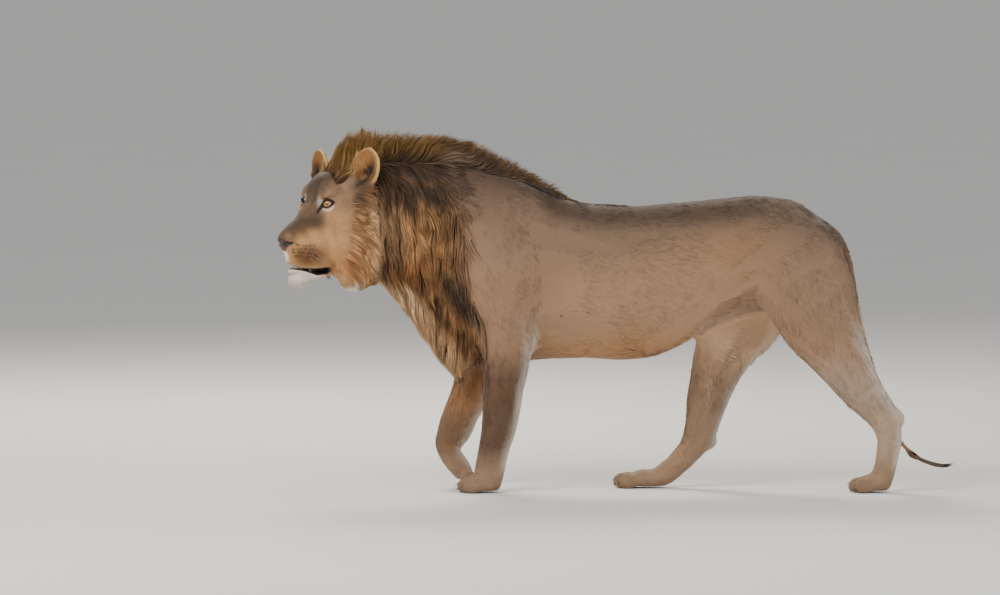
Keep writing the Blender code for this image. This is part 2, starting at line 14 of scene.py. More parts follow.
import bmesh
import bpy
import numpy as np
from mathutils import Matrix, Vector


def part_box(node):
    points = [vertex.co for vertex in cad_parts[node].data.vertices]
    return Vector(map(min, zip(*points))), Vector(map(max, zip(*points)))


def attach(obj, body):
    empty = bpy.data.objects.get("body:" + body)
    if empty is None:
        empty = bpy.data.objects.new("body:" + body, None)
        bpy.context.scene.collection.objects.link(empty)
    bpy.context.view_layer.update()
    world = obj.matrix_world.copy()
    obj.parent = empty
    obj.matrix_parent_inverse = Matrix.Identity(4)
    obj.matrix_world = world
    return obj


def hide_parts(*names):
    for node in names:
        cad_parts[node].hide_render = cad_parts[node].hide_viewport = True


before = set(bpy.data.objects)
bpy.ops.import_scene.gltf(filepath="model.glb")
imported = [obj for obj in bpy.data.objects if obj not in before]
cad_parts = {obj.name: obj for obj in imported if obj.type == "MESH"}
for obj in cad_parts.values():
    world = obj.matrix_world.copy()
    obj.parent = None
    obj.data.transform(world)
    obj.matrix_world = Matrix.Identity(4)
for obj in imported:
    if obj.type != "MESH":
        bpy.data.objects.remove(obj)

import openvdb as vdb
from bpy.types import bpy_prop_collection, Material, Mesh, Node, NodeSocket, NodeTree, Object
from mathutils import Matrix, Vector

Array = np.ndarray
Colour = tuple[float, float, float]

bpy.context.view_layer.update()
BODY = "root"
FLESH = (
    "head", "lower_jaw", "ear_left", "ear_right", "neck", "trunk", "foreleg_left", "foreleg_right",
    "forepaw_left", "forepaw_right", "hindleg_left", "hindleg_right", "hindpaw_left",
    "hindpaw_right", "tail", "tail_tuft",
)
NOSE = "nose"
log = logging.getLogger("lion")


# ---------------------------------------------------------------- small mathematics
def rise(low: float, high: float, value: Array) -> Array:
    """A smooth step of value, from 0 at low to 1 at high; low may be the larger."""
    t = np.clip((value - low) / (high - low), 0.0, 1.0)
    return t * t * (3.0 - 2.0 * t)


def bump(value: Array, centre: float, width: float) -> Array:
    """A bell of height 1 about centre."""
    return np.exp(-(((value - centre) / width) ** 2))


def glow(gap: Array, width: float) -> Array:
    """1 where a distance is 0 or less, fading out over about the width."""
    return np.exp(-(np.maximum(gap, 0) / width) ** 2)


def spot(a: Array, b: Array, power: int = 2) -> Array:
    """A round patch where a and b are near 0, gone at about 1, harder edged with the power."""
    return np.exp(-(np.hypot(a, b)) ** power)


def ball(at: Array, centre: tuple, radii: tuple, power: int = 2) -> Array:
    """An egg-shaped patch about a centre, harder edged with the power."""
    return np.exp(-(np.linalg.norm((at - np.asarray(centre)) / radii, axis=1)) ** power)


def lerp(a: Array, b: Array, share: Array) -> Array:
    """From rows of a towards rows of b by a share for each row."""
    return a + (np.asarray(b) - a) * share[:, None]


def layered(base: Array, *layers: tuple) -> Array:
    """Colours or directions laid one over another.

    Args:
        base: What lies lowest, one row or a row for each point.
        layers: Pairs of what is laid over it and its share at each point, first to last.
    Returns:
        A row for each point.
    """
    made = np.asarray(base)
    for over, share in layers:
        made = lerp(made, over, share)
    return made


def unit(rows: Array) -> Array:
    """Each row, along the last axis, at length 1."""
    return rows / np.maximum(np.linalg.norm(rows, axis=-1, keepdims=True), 1e-9)


def gradient(value: Callable[[Array], Array], points: Array, reach: float) -> Array:
    """The gradient of a value in space.

    Args:
        value: Gives the value at points.
        points: Where the gradient is wanted, one a row.
        reach: Half the length it is measured over, along each axis.
    Returns:
        The gradient at each point.
    """
    steps = np.eye(3) * reach
    return np.stack([(value(points + step) - value(points - step)) / (2 * reach) for step in steps], axis=1)


def fuse(a: Array, b: Array, softness: float) -> Array:
    """Smooth union of two distances."""
    t = np.clip(0.5 + 0.5 * (b - a) / softness, 0.0, 1.0)
    return b + (a - b) * t - softness * t * (1.0 - t)


def carve(a: Array, b: Array, softness: float) -> Array:
    """Distance a with the shape b smoothly taken away."""
    return -fuse(-a, b, softness)


def egg(at: Array, centre: tuple, radii: tuple, tilt: float = 0.0) -> Array:
    """About the distance to an ellipsoid.

    Args:
        at: Points, one a row.
        centre: Its middle.
        radii: Its half-sizes.
        tilt: Degrees by which its x axis turns down about Y.
    Returns:
        The distance at each point, negative inside.
    """
    q = at - np.asarray(centre)
    if tilt:
        c, s = math.cos(math.radians(tilt)), math.sin(math.radians(tilt))
        q = np.stack([q[:, 0] * c - q[:, 2] * s, q[:, 1], q[:, 0] * s + q[:, 2] * c], axis=1)
    inner = np.linalg.norm(q / radii, axis=1)
    outer = np.linalg.norm(q / np.square(radii), axis=1)
    return inner * (inner - 1.0) / np.maximum(outer, 1e-6)


def along(at: Array, path: list, radii: list) -> Array:
    """The distance to a rounded stroke through points.

    Args:
        at: Points, one a row.
        path: The stroke's points.
        radii: Its radius at each of them.
    Returns:
        The distance at each point, negative inside.
    """
    best = np.full(len(at), 1e3)
    for a, b, ra, rb in zip(path, path[1:], radii, radii[1:]):
        a, run = np.asarray(a), np.asarray(b) - np.asarray(a)
        t = np.clip((at - a) @ run / (run @ run), 0.0, 1.0)
        gap = np.linalg.norm(at - a - t[:, None] * run, axis=1) - (ra + (rb - ra) * t)
        best = np.minimum(best, gap)
    return best


class Ripple:
    """Smooth random variation from a few plane waves of random heading."""

    def __init__(self, length: float, seed: int, waves: int = 7) -> None:
        """Args:
            length: About the distance from crest to crest.
            seed: Fixes the waves.
            waves: How many are summed.
        """
        rng = np.random.default_rng(seed)
        heading = unit(rng.normal(size=(waves, 3)))
        self.wave = heading * (math.tau / length) * rng.uniform(0.6, 1.6, (waves, 1))
        self.phase = rng.uniform(0, math.tau, waves)

    def at(self, points: Array) -> Array:
        """The variation at points, mostly within -1 and 1."""
        return np.sin(points @ self.wave.T + self.phase).sum(axis=1) / math.sqrt(len(self.phase) * 0.6)


# ---------------------------------------------------------------- fields
@dataclass
class Field:
    """Values on a regular grid, read between its nodes by linear interpolation."""

    low: Array
    step: float
    values: Array

    def axes(self) -> list[Array]:
        """The coordinates of the grid's planes along each axis."""
        return [self.low[k] + self.step * np.arange(n) for k, n in enumerate(self.values.shape)]

    def at(self, points: Array) -> Array:
        """The value at each point.

        Args:
            points: Points, one a row.
        Returns:
            One value for each, the nearest edge's outside the grid.
        """
        place = (points - self.low) / self.step
        top = np.asarray(self.values.shape) - 2
        cell = np.clip(np.floor(place).astype(np.int64), 0, top)
        t = np.clip(place - cell, 0.0, 1.0)
        flat = self.values.ravel()
        _, ny, nz = self.values.shape
        start = (cell[:, 0] * ny + cell[:, 1]) * nz + cell[:, 2]
        total = np.zeros(len(points))
        for i in (0, 1):
            for j in (0, 1):
                for k in (0, 1):
                    weight = (
                        (t[:, 0] if i else 1 - t[:, 0]) * (t[:, 1] if j else 1 - t[:, 1])
                        * (t[:, 2] if k else 1 - t[:, 2])
                    )
                    total += weight * flat[start + (i * ny + j) * nz + k]
        return total

    def slope(self, points: Array) -> Array:
        """The gradient at each point, over about one and a half steps of the grid."""
        return gradient(self.at, points, self.step * 0.75)

    def blurred(self, radius: int, rounds: int = 3) -> "Field":
        """A copy averaged over boxes of that many steps each way, several rounds.

        Args:
            radius: Half the box's width, in steps.
            rounds: How many times.
        Returns:
            The copy.
        """
        values = self.values.astype(np.float32)
        width = 2 * radius + 1
        for _ in range(rounds):
            for axis in range(3):
                pad = [(0, 0)] * 3
                pad[axis] = (radius + 1, radius)
                total = np.cumsum(np.pad(values, pad, mode="edge"), axis=axis, dtype=np.float64)
                size = values.shape[axis]
                upper = np.take(total, np.arange(width, width + size), axis=axis)
                lower = np.take(total, np.arange(0, size), axis=axis)
                values = ((upper - lower) / width).astype(np.float32)
        return Field(self.low, self.step, values)

    def on(self, other: "Field") -> Array:
        """This field's values at the nodes of another grid.

        Args:
            other: The other grid.
        Returns:
            One value for each of its nodes.
        """
        values = self.values
        for axis, coordinates in enumerate(other.axes()):
            place = np.clip((coordinates - self.low[axis]) / self.step, 0, values.shape[axis] - 1.001)
            cell = place.astype(int)
            t = (place - cell).astype(np.float32)
            t = t.reshape([-1 if k == axis else 1 for k in range(3)])
            values = np.take(values, cell, axis=axis) * (1 - t) + np.take(values, cell + 1, axis=axis) * t
        return values


@dataclass(frozen=True)
class Head:
    """The head's own coordinates: nose tip at the origin, x backwards, z up, y to its right."""

    origin: Array
    turn: Array

    @classmethod
    def from_frame(cls, eye_place: tuple) -> "Head":
        """The head as its two eyes place it.

        Args:
            eye_place: Where the right eye's centre is in head coordinates.
        Returns:
            The head's frame.
        """
        left, right = (middle(name) for name in ("eye_left", "eye_right"))
        across = (right - left) / np.linalg.norm(right - left)
        back = np.cross(across, (0.0, 0.0, 1.0))
        turn = np.stack([back, across, (0.0, 0.0, 1.0)], axis=1)
        between = (left + right) / 2
        return cls(between - turn @ np.array([eye_place[0], 0.0, eye_place[2]]), turn)

    def local(self, points: Array) -> Array:
        """World points in head coordinates."""
        return (points - self.origin) @ self.turn

    def world(self, points: Array) -> Array:
        """Head points in world coordinates."""
        return points @ self.turn.T + self.origin

    def heading(self, vectors: Array) -> Array:
        """Head directions as world directions."""
        return vectors @ self.turn.T


def middle(node: str) -> Array:
    """The centre of a node's box."""
    low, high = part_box(node)
    return (np.array(low) + np.array(high)) / 2


def read_rows(items: bpy_prop_collection, attribute: str, width: int, kind: type = np.float32) -> Array:
    """An attribute of a mesh's vertices, loops or triangles.

    Args:
        items: Where it is kept.
        attribute: Its name.
        width: How many numbers each item has.
        kind: The type of the numbers.
    Returns:
        One row for each item.
    """
    flat = np.zeros(len(items) * width, kind)
    items.foreach_get(attribute, flat)
    return flat.reshape(-1, width)


def node_triangles(names: tuple) -> tuple[Array, Array]:
    """The surfaces of several CAD nodes together.

    Args:
        names: The nodes.
    Returns:
        Their points and their triangles.
    """
    points, triangles, count = [], [], 0
    for name in names:
        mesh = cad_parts[name].data
        mesh.calc_loop_triangles()
        points.append(read_rows(mesh.vertices, "co", 3))
        triangles.append(read_rows(mesh.loop_triangles, "vertices", 3, np.int32) + count)
        count += len(mesh.vertices)
    return np.concatenate(points), np.concatenate(triangles).astype(np.uint32)


def solid_field(step: float, reach: float, skirt: float) -> Field:
    """Signed distance to the outside of all the solids taken as one, their thin cuts closed.

    Args:
        step: Grain of the grid.
        reach: How deep inside the distance is known.
        skirt: How far outside.
    Returns:
        The distance, negative inside.
    """
    crack = 0.0005
    points, triangles = node_triangles((*FLESH, NOSE, "eye_left", "eye_right"))
    scale = vdb.createLinearTransform(voxelSize=step)
    rough = vdb.FloatGrid.createLevelSetFromPolygons(
        points, triangles=triangles, transform=scale, halfWidth=3.0)
    points, quads = rough.convertToQuads(crack)
    grid = vdb.FloatGrid.createLevelSetFromPolygons(
        points, quads=quads, transform=scale, exBandWidth=skirt / step, inBandWidth=reach / step)
    margin = 4
    low = np.floor(points.min(axis=0) / step).astype(int) - margin
    size = np.ceil(points.max(axis=0) / step).astype(int) + margin - low
    values = np.zeros(size, np.float32)
    grid.copyToArray(values, ijk=tuple(int(v) for v in low))
    return Field(low * step, step, values)


# ---------------------------------------------------------------- where things are
EYE_PLACE = (0.166, 0.055, 0.140)       # centre of the right eye in head coordinates
HEAD = Head.from_frame(EYE_PLACE)
MIDDLE = float(middle("trunk")[1])      # y of the body's middle plane
EAR_PLACE = (0.266, 0.122, 0.249)       # middle of an ear in head coordinates
EAR_LIFT = 0.008                        # the left ear is held higher by this, the right lower
EAR_OUT = math.radians(12)
EAR_LEAN = math.radians(14)


@dataclass
class Spots:
    """Points with the coordinates that every rule of shape and colour reads.

    world is the row frame, body has y from the middle plane, head is in head
    coordinates, side is head with y made positive, and ear is in the coordinates of
    the ear on the same side: x through its thickness, y outwards, z up to its rim.
    """

    world: Array
    body: Array = field(init=False)
    head: Array = field(init=False)
    side: Array = field(init=False)
    ear: Array = field(init=False)

    def __post_init__(self) -> None:
        """Works out the other coordinates."""
        self.body = self.world - np.array([0.0, MIDDLE, 0.0])
        self.head = HEAD.local(self.world)
        self.side = np.column_stack([self.head[:, 0], np.abs(self.head[:, 1]), self.head[:, 2]])
        lift = np.where(self.head[:, 1] < 0, EAR_LIFT, -EAR_LIFT)
        turn = Matrix.Rotation(-EAR_OUT, 3, "Z") @ Matrix.Rotation(-EAR_LEAN, 3, "X")
        shifted = self.side - np.array(EAR_PLACE) - lift[:, None] * np.array([0.0, 0.0, 1.0])
        self.ear = shifted @ np.array(turn)


class Region:
    """How far a point belongs to each region of the coat, from 0 to 1."""

    REAR_Z = (0.30, 0.44, 0.475, 0.56, 0.64, 0.72, 0.80, 0.90, 1.00, 1.10, 1.16)
    REAR_X = (-0.52, -0.475, -0.470, -0.462, -0.510, -0.525, -0.530, -0.530, -0.560, -0.580, -0.56)

    @classmethod
    def rear_edge(cls, z: Array) -> Array:
        """x of the mane's rear edge at a height."""
        return np.interp(z, cls.REAR_Z, cls.REAR_X)

    @classmethod
    def mane(cls, s: Spots, soft: float = 0.05) -> Array:
        """The long hair: crown, crest, neck and chest.

        Args:
            s: The points.
            soft: Half the width of its rear edge.
        Returns:
            Its share at each point.
        """
        x, z = s.body[:, 0], s.body[:, 2]
        hx, hz = s.side[:, 0], s.side[:, 2]
        crown = rise(0.196, 0.216, hx + 0.3 * (0.25 - hz)) * rise(0.080, 0.050, s.side[:, 1])
        crown = crown * rise(0.19, 0.21, hz)
        start = np.maximum(rise(0.285, 0.335, hx) * (1 - cls.by_ear(s)), crown)
        end = 1 - rise(0, 1, (x - cls.rear_edge(z) + soft) / (2 * soft))
        leg = rise(0.47, 0.40, z) * rise(0.065, 0.085, np.abs(s.body[:, 1]))
        return start * end * (1 - leg) * rise(0.345, 0.365, z)

    @classmethod
    def crest(cls, s: Spots) -> Array:
        """The hair that stands up from the crown and along the top of the neck.

        Args:
            s: The points.
        Returns:
            Its share at each point.
        """
        hx, hy, hz = s.side.T
        crown = rise(0.36, 0.32, hx) * rise(0.19, 0.21, hz) * rise(0.105, 0.075, hy)
        return np.maximum(rise(1.065, 1.115, s.body[:, 2]), crown)

    @classmethod
    def ridge(cls, s: Spots) -> Array:
        """The strip of hair that runs on from the crest down the middle of the back.

        Args:
            s: The points.
        Returns:
            Its share at each point.
        """
        x, y, z = s.body.T
        wide = np.interp(x, (-0.5, -0.2, 0.1), (0.075, 0.040, 0.022))
        run = rise(-0.70, -0.60, x) * (1 - rise(-0.10, 0.06, x))
        return run * rise(wide, wide * 0.3, np.abs(y)) * rise(0.90, 0.95, z)

    @staticmethod
    def ear_reach(s: Spots) -> Array:
        """How far out from the ear's middle a point is, 1 at about its edge."""
        return np.linalg.norm(s.ear / (0.040, 0.070, 0.080), axis=1)

    @staticmethod
    def ear_rim(s: Spots) -> Array:
        """How far across the ear's flat a point is from its middle, 1 at the rim."""
        return np.linalg.norm((s.ear - (0.0, 0.0, -0.004)) / (0.3, 0.050, 0.064), axis=1)

    @classmethod
    def ear(cls, s: Spots) -> Array:
        """The ears above their roots."""
        return rise(1.08, 0.94, cls.ear_reach(s)) * rise(-0.050, -0.034, s.ear[:, 2])

    @classmethod
    def by_ear(cls, s: Spots) -> Array:
        """The ears and the short hair close round them."""
        return rise(1.50, 1.15, cls.ear_reach(s)) * rise(-0.075, -0.050, s.ear[:, 2])

    @classmethod
    def face(cls, s: Spots) -> Array:
        """The short-haired face in front of the ruff."""
        low = rise(0.05, -0.05, s.side[:, 2])
        return 1 - rise(0.215 - 0.03 * low, 0.29 - 0.04 * low, s.side[:, 0])

    @classmethod
    def ruff(cls, s: Spots) -> Array:
        """The cheek's longer hair, from under the ear to below the jaw.

        Args:
            s: The points.
        Returns:
            Its share at each point.
        """
        hx, hy, hz = s.side.T
        heights = (-0.16, -0.10, -0.06, 0.02, 0.10, 0.17)
        edge = np.interp(hz, heights, (0.196, 0.196, 0.182, 0.188, 0.205, 0.225))
        cheek = rise(edge - 0.012, edge + 0.03, hx) * rise(0.36, 0.31, hx)
        return cheek * rise(0.04, 0.07, hy) * rise(0.20, 0.15, hz)

    @classmethod
    def tuft(cls, s: Spots) -> Array:
        """The end of the tail."""
        low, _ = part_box("tail_tuft")
        return rise(low.x - 0.03, low.x + 0.03, s.body[:, 0])

    @classmethod
    def leg(cls, s: Spots) -> Array:
        """The limbs below the body."""
        z = s.body[:, 2]
        return rise(0.50, 0.36, z) * (1 - cls.tail(s)) * (1 - cls.mane(s))

    @classmethod
    def tail(cls, s: Spots) -> Array:
        """The tail behind the haunches.

        Args:
            s: The points.
        Returns:
            Its share at each point.
        """
        x, y, z = s.body.T
        line = np.interp(z, (0.10, 0.25, 0.45, 0.70, 0.87), (0.955, 0.855, 0.80, 0.740, 0.672))
        shaft = rise(line - 0.02, line + 0.005, x) * rise(0.055, 0.04, np.abs(y))
        return np.maximum(shaft, cls.tuft(s)) * rise(0.93, 0.88, z)

    @classmethod
    def trunk(cls, s: Spots) -> Array:
        """The barrel, shoulders and haunches, where the skin is drawn most smoothly."""
        return rise(0.44, 0.60, s.body[:, 2]) * rise(0.34, 0.42, s.side[:, 0]) * (1 - cls.tail(s))

    @staticmethod
    def head(s: Spots, far: float, near: float) -> Array:
        """The head, with a soft end between two distances behind the nose."""
        return rise(far, near, s.side[:, 0]) * (np.linalg.norm(s.head - (0.18, 0, 0.06), axis=1) < 0.36)


class Coat:
    """The depth of the coat, between the skin and the hair's tips."""

    SHORT, FACE, MUZZLE, RUFF, MANE, TAIL = 0.007, 0.0045, 0.0015, 0.014, 0.046, 0.016

    @classmethod
    def depth(cls, s: Spots) -> Array:
        """The depth at each point, in metres.

        Args:
            s: The points.
        Returns:
            The depth, in metres.
        """
        deep = np.full(len(s.world), cls.SHORT)
        deep += (cls.FACE - cls.SHORT) * Region.face(s)
        deep += (cls.MUZZLE - cls.FACE) * rise(0.10, 0.03, s.side[:, 0])
        deep += (cls.RUFF - deep) * Region.ruff(s) * (1 - Region.ear(s))
        deep += (cls.MANE - deep) * Region.mane(s, 0.07)
        high = 0.016 + 0.020 * rise(-0.20, -0.24, s.body[:, 0])
        deep += (high - deep) * Region.ridge(s) * (1 - Region.mane(s, 0.07))
        deep += (cls.TAIL - deep) * Region.tuft(s)
        return deep


# ---------------------------------------------------------------- the skin's shape
@dataclass(frozen=True)
class Sculpt:
    """The fine forms of the head, as changes to a distance in head coordinates."""

    eye: tuple = (0.1600, 0.0560, 0.1345)
    eye_radius: float = 0.0200
    gaze: tuple = (-0.815, 0.575, 0.07)
    lid: float = 0.0032
    opening: tuple = (0.0186, 0.0097, 0.0088)     # half-length, rise of the upper lid, drop of the lower
    NOSTRIL = (                                   # down the middle of a nostril's comma
        (0.005, 0.008, -0.006), (0.003, 0.0125, 0.003), (0.010, 0.0215, 0.0095), (0.023, 0.0305, 0.0085),
    )

    def gaze_frame(self) -> Array:
        """Rows: ahead out of the eye, towards its outer corner, and up.

        Returns:
            The three directions, one a row.
        """
        ahead = np.array(self.gaze) / np.linalg.norm(self.gaze)
        outer = np.cross((0.0, 0.0, 1.0), ahead)
        outer /= -np.linalg.norm(outer)
        tilt = math.radians(14)                    # outer corner above the inner one
        up = np.cross(ahead, outer)
        up *= math.copysign(1.0, up[2])
        turned = outer * math.cos(tilt) + up * math.sin(tilt)
        return np.stack([ahead, turned, up * math.cos(tilt) - outer * math.sin(tilt)])

    def from_eye(self, s: Spots) -> Array:
        """How far ahead of the eye's centre, outwards from it and above it each point is."""
        return ((s.side - np.array(self.eye)) @ self.gaze_frame().T).T

    def eye_gap(self, s: Spots) -> Array:
        """How far each point is from the eye's centre."""
        return np.linalg.norm(s.side - np.array(self.eye), axis=1)

    def almond(self, s: Spots) -> tuple[Array, Array]:
        """How far a point is outside the opening between the lids, and ahead of the eye's centre.

        Args:
            s: The points.
        Returns:
            The distance past the lids' edge, and the distance ahead.
        """
        ahead, outward, up = self.from_eye(s)
        half, top, bottom = self.opening
        share = outward / half
        arch = np.clip(1 - share * share, -1.0, 1.0)
        upper = up - top * arch * (1 + 0.10 * share)
        lower = -bottom * arch - up
        return np.maximum(upper, lower), ahead

    def lids(self, s: Spots, d: Array) -> Array:
        """Sets the lids round the eye, with the tear groove at its inner corner.

        Args:
            s: The points.
            d: The distance so far.
        Returns:
            The new distance.
        """
        gap = self.eye_gap(s)
        d = d + 0.010 * glow(gap, 0.034)
        d = fuse(d, gap - self.eye_radius - self.lid, 0.007)
        past, ahead = self.almond(s)
        for height, edge in ((-0.0016, 0.0012), (0.0014, 0.0085)):      # the lids' rim and their crease
            d = d + height * (bump(past, edge, 0.0022) * (ahead > 0) * (gap < 0.036))
        opening = np.where(ahead > 0, np.maximum(past * 0.8, gap - 0.040), 1.0)
        d = carve(d, opening, 0.0012)
        tear = [(0.146, 0.046, 0.134), (0.132, 0.0435, 0.120), (0.120, 0.043, 0.106)]
        return carve(d, along(s.side, tear, [0.0030, 0.0022, 0.0008]), 0.004)

    @staticmethod
    def nostril(s: Spots) -> Array:
        """The distance to the comma-shaped openings of the nose."""
        return along(s.side, Sculpt.NOSTRIL, [0.0020, 0.0058, 0.0055, 0.0024])

    def muzzle(self, s: Spots, d: Array) -> Array:
        """Cuts the nostrils, the parting of the lip and the line of the mouth.

        Args:
            s: The points.
            d: The distance so far.
        Returns:
            The new distance.
        """
        d = d - 0.0022 * ball(s.side, (0.012, 0.026, 0.018), (0.018, 0.014, 0.014))
        d = carve(d, self.nostril(s), 0.003)
        parting = [(0.010, 0.0, -0.012), (0.016, 0.0, -0.030), (0.026, 0.0, -0.066)]
        d = carve(d, along(s.side, parting, [0.0016, 0.0020, 0.0026]), 0.005)
        leather = [(0.000, 0.0, -0.006), (0.004, 0.016, -0.002), (0.020, 0.030, 0.006)]
        d = carve(d, along(s.side, leather, [0.0016, 0.0016, 0.0012]), 0.004)
        for height, swell in ((-0.018, 0.0010), (-0.032, 0.0012), (-0.046, 0.0010)):
            row = bump(s.side[:, 2], height, 0.0045) * rise(0.03, 0.06, s.side[:, 0])
            d = d - swell * row * rise(0.145, 0.11, s.side[:, 0]) * rise(0.015, 0.03, s.side[:, 1])
        return d

    def cheeks(self, s: Spots, d: Array) -> Array:
        """Softens the hollows of the face and firms up brow, cheekbone and lips.

        Args:
            s: The points.
            d: The distance so far.
        Returns:
            The new distance.
        """
        brow = egg(s.side, (0.158, 0.052, 0.166), (0.028, 0.021, 0.010), -24)
        d = fuse(d, brow, 0.014)
        d = d + 0.0040 * ball(s.side, (0.125, 0.052, 0.085), (0.040, 0.020, 0.026))
        bone = along(s.side, [(0.165, 0.092, 0.105), (0.215, 0.118, 0.100)], [0.004, 0.004])
        d = d - 0.0030 * glow(bone, 0.014)
        d = fuse(d, egg(s.side, (0.078, 0.0, -0.116), (0.034, 0.031, 0.025)), 0.014)       # the chin
        lip = [(0.052, 0.0, -0.0825), (0.059, 0.016, -0.0830), (0.083, 0.030, -0.0905),
               (0.120, 0.0405, -0.1030), (0.156, 0.050, -0.0985)]
        d = fuse(d, along(s.side, lip, [0.007, 0.007, 0.007, 0.006, 0.006]), 0.010)
        d = fuse(d, egg(s.side, (0.078, 0.0, -0.084), (0.042, 0.025, 0.010)), 0.003)
        furrow = along(s.side, [(0.120, 0.0, 0.135), (0.190, 0.0, 0.205)], [0.002, 0.002])
        return d + 0.0035 * glow(furrow, 0.010)

    def ears(self, s: Spots, d: Array) -> Array:
        """Replaces the solid ears by cupped shells.

        Args:
            s: The points.
            d: The distance so far.
        Returns:
            The new distance.
        """
        e = s.ear
        zone = egg(e, (0, 0, 0.004), (0.036, 0.066, 0.076))
        d = carve(d, np.maximum(zone, -0.036 - e[:, 2]), 0.012)
        shell = egg(e, (0.006, 0, -0.004), (0.019, 0.050, 0.064))
        d = fuse(d, np.maximum(shell, -0.056 - e[:, 2]), 0.012)
        d = carve(d, egg(e, (-0.010, -0.002, 0.004), (0.019, 0.040, 0.050)), 0.005)        # the cup
        d = carve(d, egg(e, (0.000, -0.006, -0.030), (0.020, 0.020, 0.026)), 0.008)        # the canal
        fold = along(e, [(-0.008, 0.030, -0.034), (-0.010, 0.042, -0.012)], [0.005, 0.002])
        return fuse(d, fold, 0.008)

    def head(self, s: Spots, d: Array) -> Array:
        """All the forms of the head, on the distance to the plain one.

        Args:
            s: The points.
            d: The distance so far.
        Returns:
            The new distance.
        """
        d = self.cheeks(s, d)
        d = self.muzzle(s, d)
        d = self.ears(s, d)
        return self.lids(s, d)


@dataclass(frozen=True)
class Paw:
    """The toes of one foot, in the coordinates of Spots.body."""

    tip: tuple                      # x and z of the foremost toes' tips
    back: tuple                     # the direction from there to the heel, x and z
    middle: float                   # y between the toes
    radii: tuple = (0.031, 0.0165, 0.0245)
    spread: float = 0.0275
    tilt: float = 0.0
    SETBACK = 0.016                 # of the outer two toes
    REACH = 0.11                    # how far from the second toe the foot is worked

    def toes(self) -> list[Array]:
        """The centre of each toe; the outer two are set back.

        Returns:
            The centres.
        """
        made = []
        for place, setback in ((-1.5, self.SETBACK), (-0.5, 0.0), (0.5, 0.0), (1.5, self.SETBACK)):
            reach = setback + self.radii[0] + 0.004
            x, z = self.tip[0] + self.back[0] * reach, self.tip[1] + self.back[1] * reach
            made.append(np.array([x, self.middle + place * self.spread, z]))
        return made

    def worked(self, s: Spots, d: Array) -> Array:
        """The distance with the toes raised and parted.

        Args:
            s: The points.
            d: The distance so far.
        Returns:
            The new distance.
        """
        toes = self.toes()
        near = np.flatnonzero(np.linalg.norm(s.body - toes[1], axis=1) < self.REACH)
        if not len(near):
            return d
        at, own, d = s.body[near], d[near], d.copy()
        for centre in toes:
            own = fuse(own, egg(at, tuple(centre), self.radii, self.tilt), 0.007)
        along_foot = (at[:, 0] - toes[1][0]) * self.back[0] + (at[:, 2] - toes[1][2]) * self.back[1]
        for place in (-1, 0, 1):
            gap = bump(at[:, 1] - self.middle, place * self.spread, 0.0042)
            own = own + 0.0055 * gap * rise(0.034, 0.004, along_foot)
        d[near] = own
        return d


PAWS = (
    Paw((-0.540, 0.024), (1.0, 0.0), -0.103, spread=0.0285),
    Paw((-0.472, -0.006), (-0.5986, 0.8010), 0.103, (0.031, 0.0155, 0.0205), 0.0270, 52.0),
    Paw((0.750, 0.024), (1.0, 0.0), -0.095),
    Paw((-0.024, 0.024), (1.0, 0.0), 0.095),
)


def side_line(s: Spots, points: tuple) -> Array:
    """How far each point is, seen from the side, from a line through points given as x and z."""
    return along(s.body * (1.0, 0.0, 1.0), [(x, 0.0, z) for x, z in points], [0.0] * len(points))


class Relief:
    """The play of muscle and bone under the skin of the body."""

    FOLDS = (   # (x, z) points down each side, the half-width and the depth of the fold
        (((-0.305, 0.88), (-0.268, 0.76), (-0.262, 0.64), (-0.285, 0.53)), 0.016, 0.0095),
        (((-0.520, 0.86), (-0.470, 0.72), (-0.420, 0.60)), 0.030, 0.0035),
        (((0.520, 0.90), (0.455, 0.78), (0.395, 0.66), (0.345, 0.585)), 0.026, 0.0050),
        (((0.700, 0.78), (0.740, 0.60), (0.780, 0.45)), 0.020, 0.0035),
        (((0.660, 0.56), (0.740, 0.44), (0.830, 0.33)), 0.016, 0.0030),
        (((-0.335, 0.60), (-0.325, 0.50), (-0.345, 0.42)), 0.012, 0.0030),
    )
    SWELLS = (
        (((-0.360, 0.74), (-0.330, 0.62)), 0.045, 0.0050),
        (((-0.440, 0.98), (-0.400, 0.84)), 0.028, 0.0045),
        (((0.560, 0.86), (0.600, 0.70)), 0.060, 0.0040),
        (((0.520, 0.955), (0.585, 0.935)), 0.030, 0.0050),
    )

    @classmethod
    def at(cls, s: Spots) -> Array:
        """How far the skin rises at each point of the body.

        Args:
            s: The points.
        Returns:
            The height at each point.
        """
        x, _, z = s.body.T
        up = np.zeros(len(x))
        for sign, lines in ((-1, cls.FOLDS), (1, cls.SWELLS)):
            for points, width, depth in lines:
                up += sign * depth * glow(side_line(s, points), width)
        ribs = np.sin((x + 0.35 * (z - 0.7)) * math.tau / 0.055) * 0.0011
        up += ribs * rise(-0.24, -0.12, x) * rise(0.26, 0.12, x) * bump(z, 0.70, 0.12)
        up += Ripple(0.16, 5).at(s.world) * 0.0012
        return up * Region.trunk(s) * (1 - Region.mane(s))


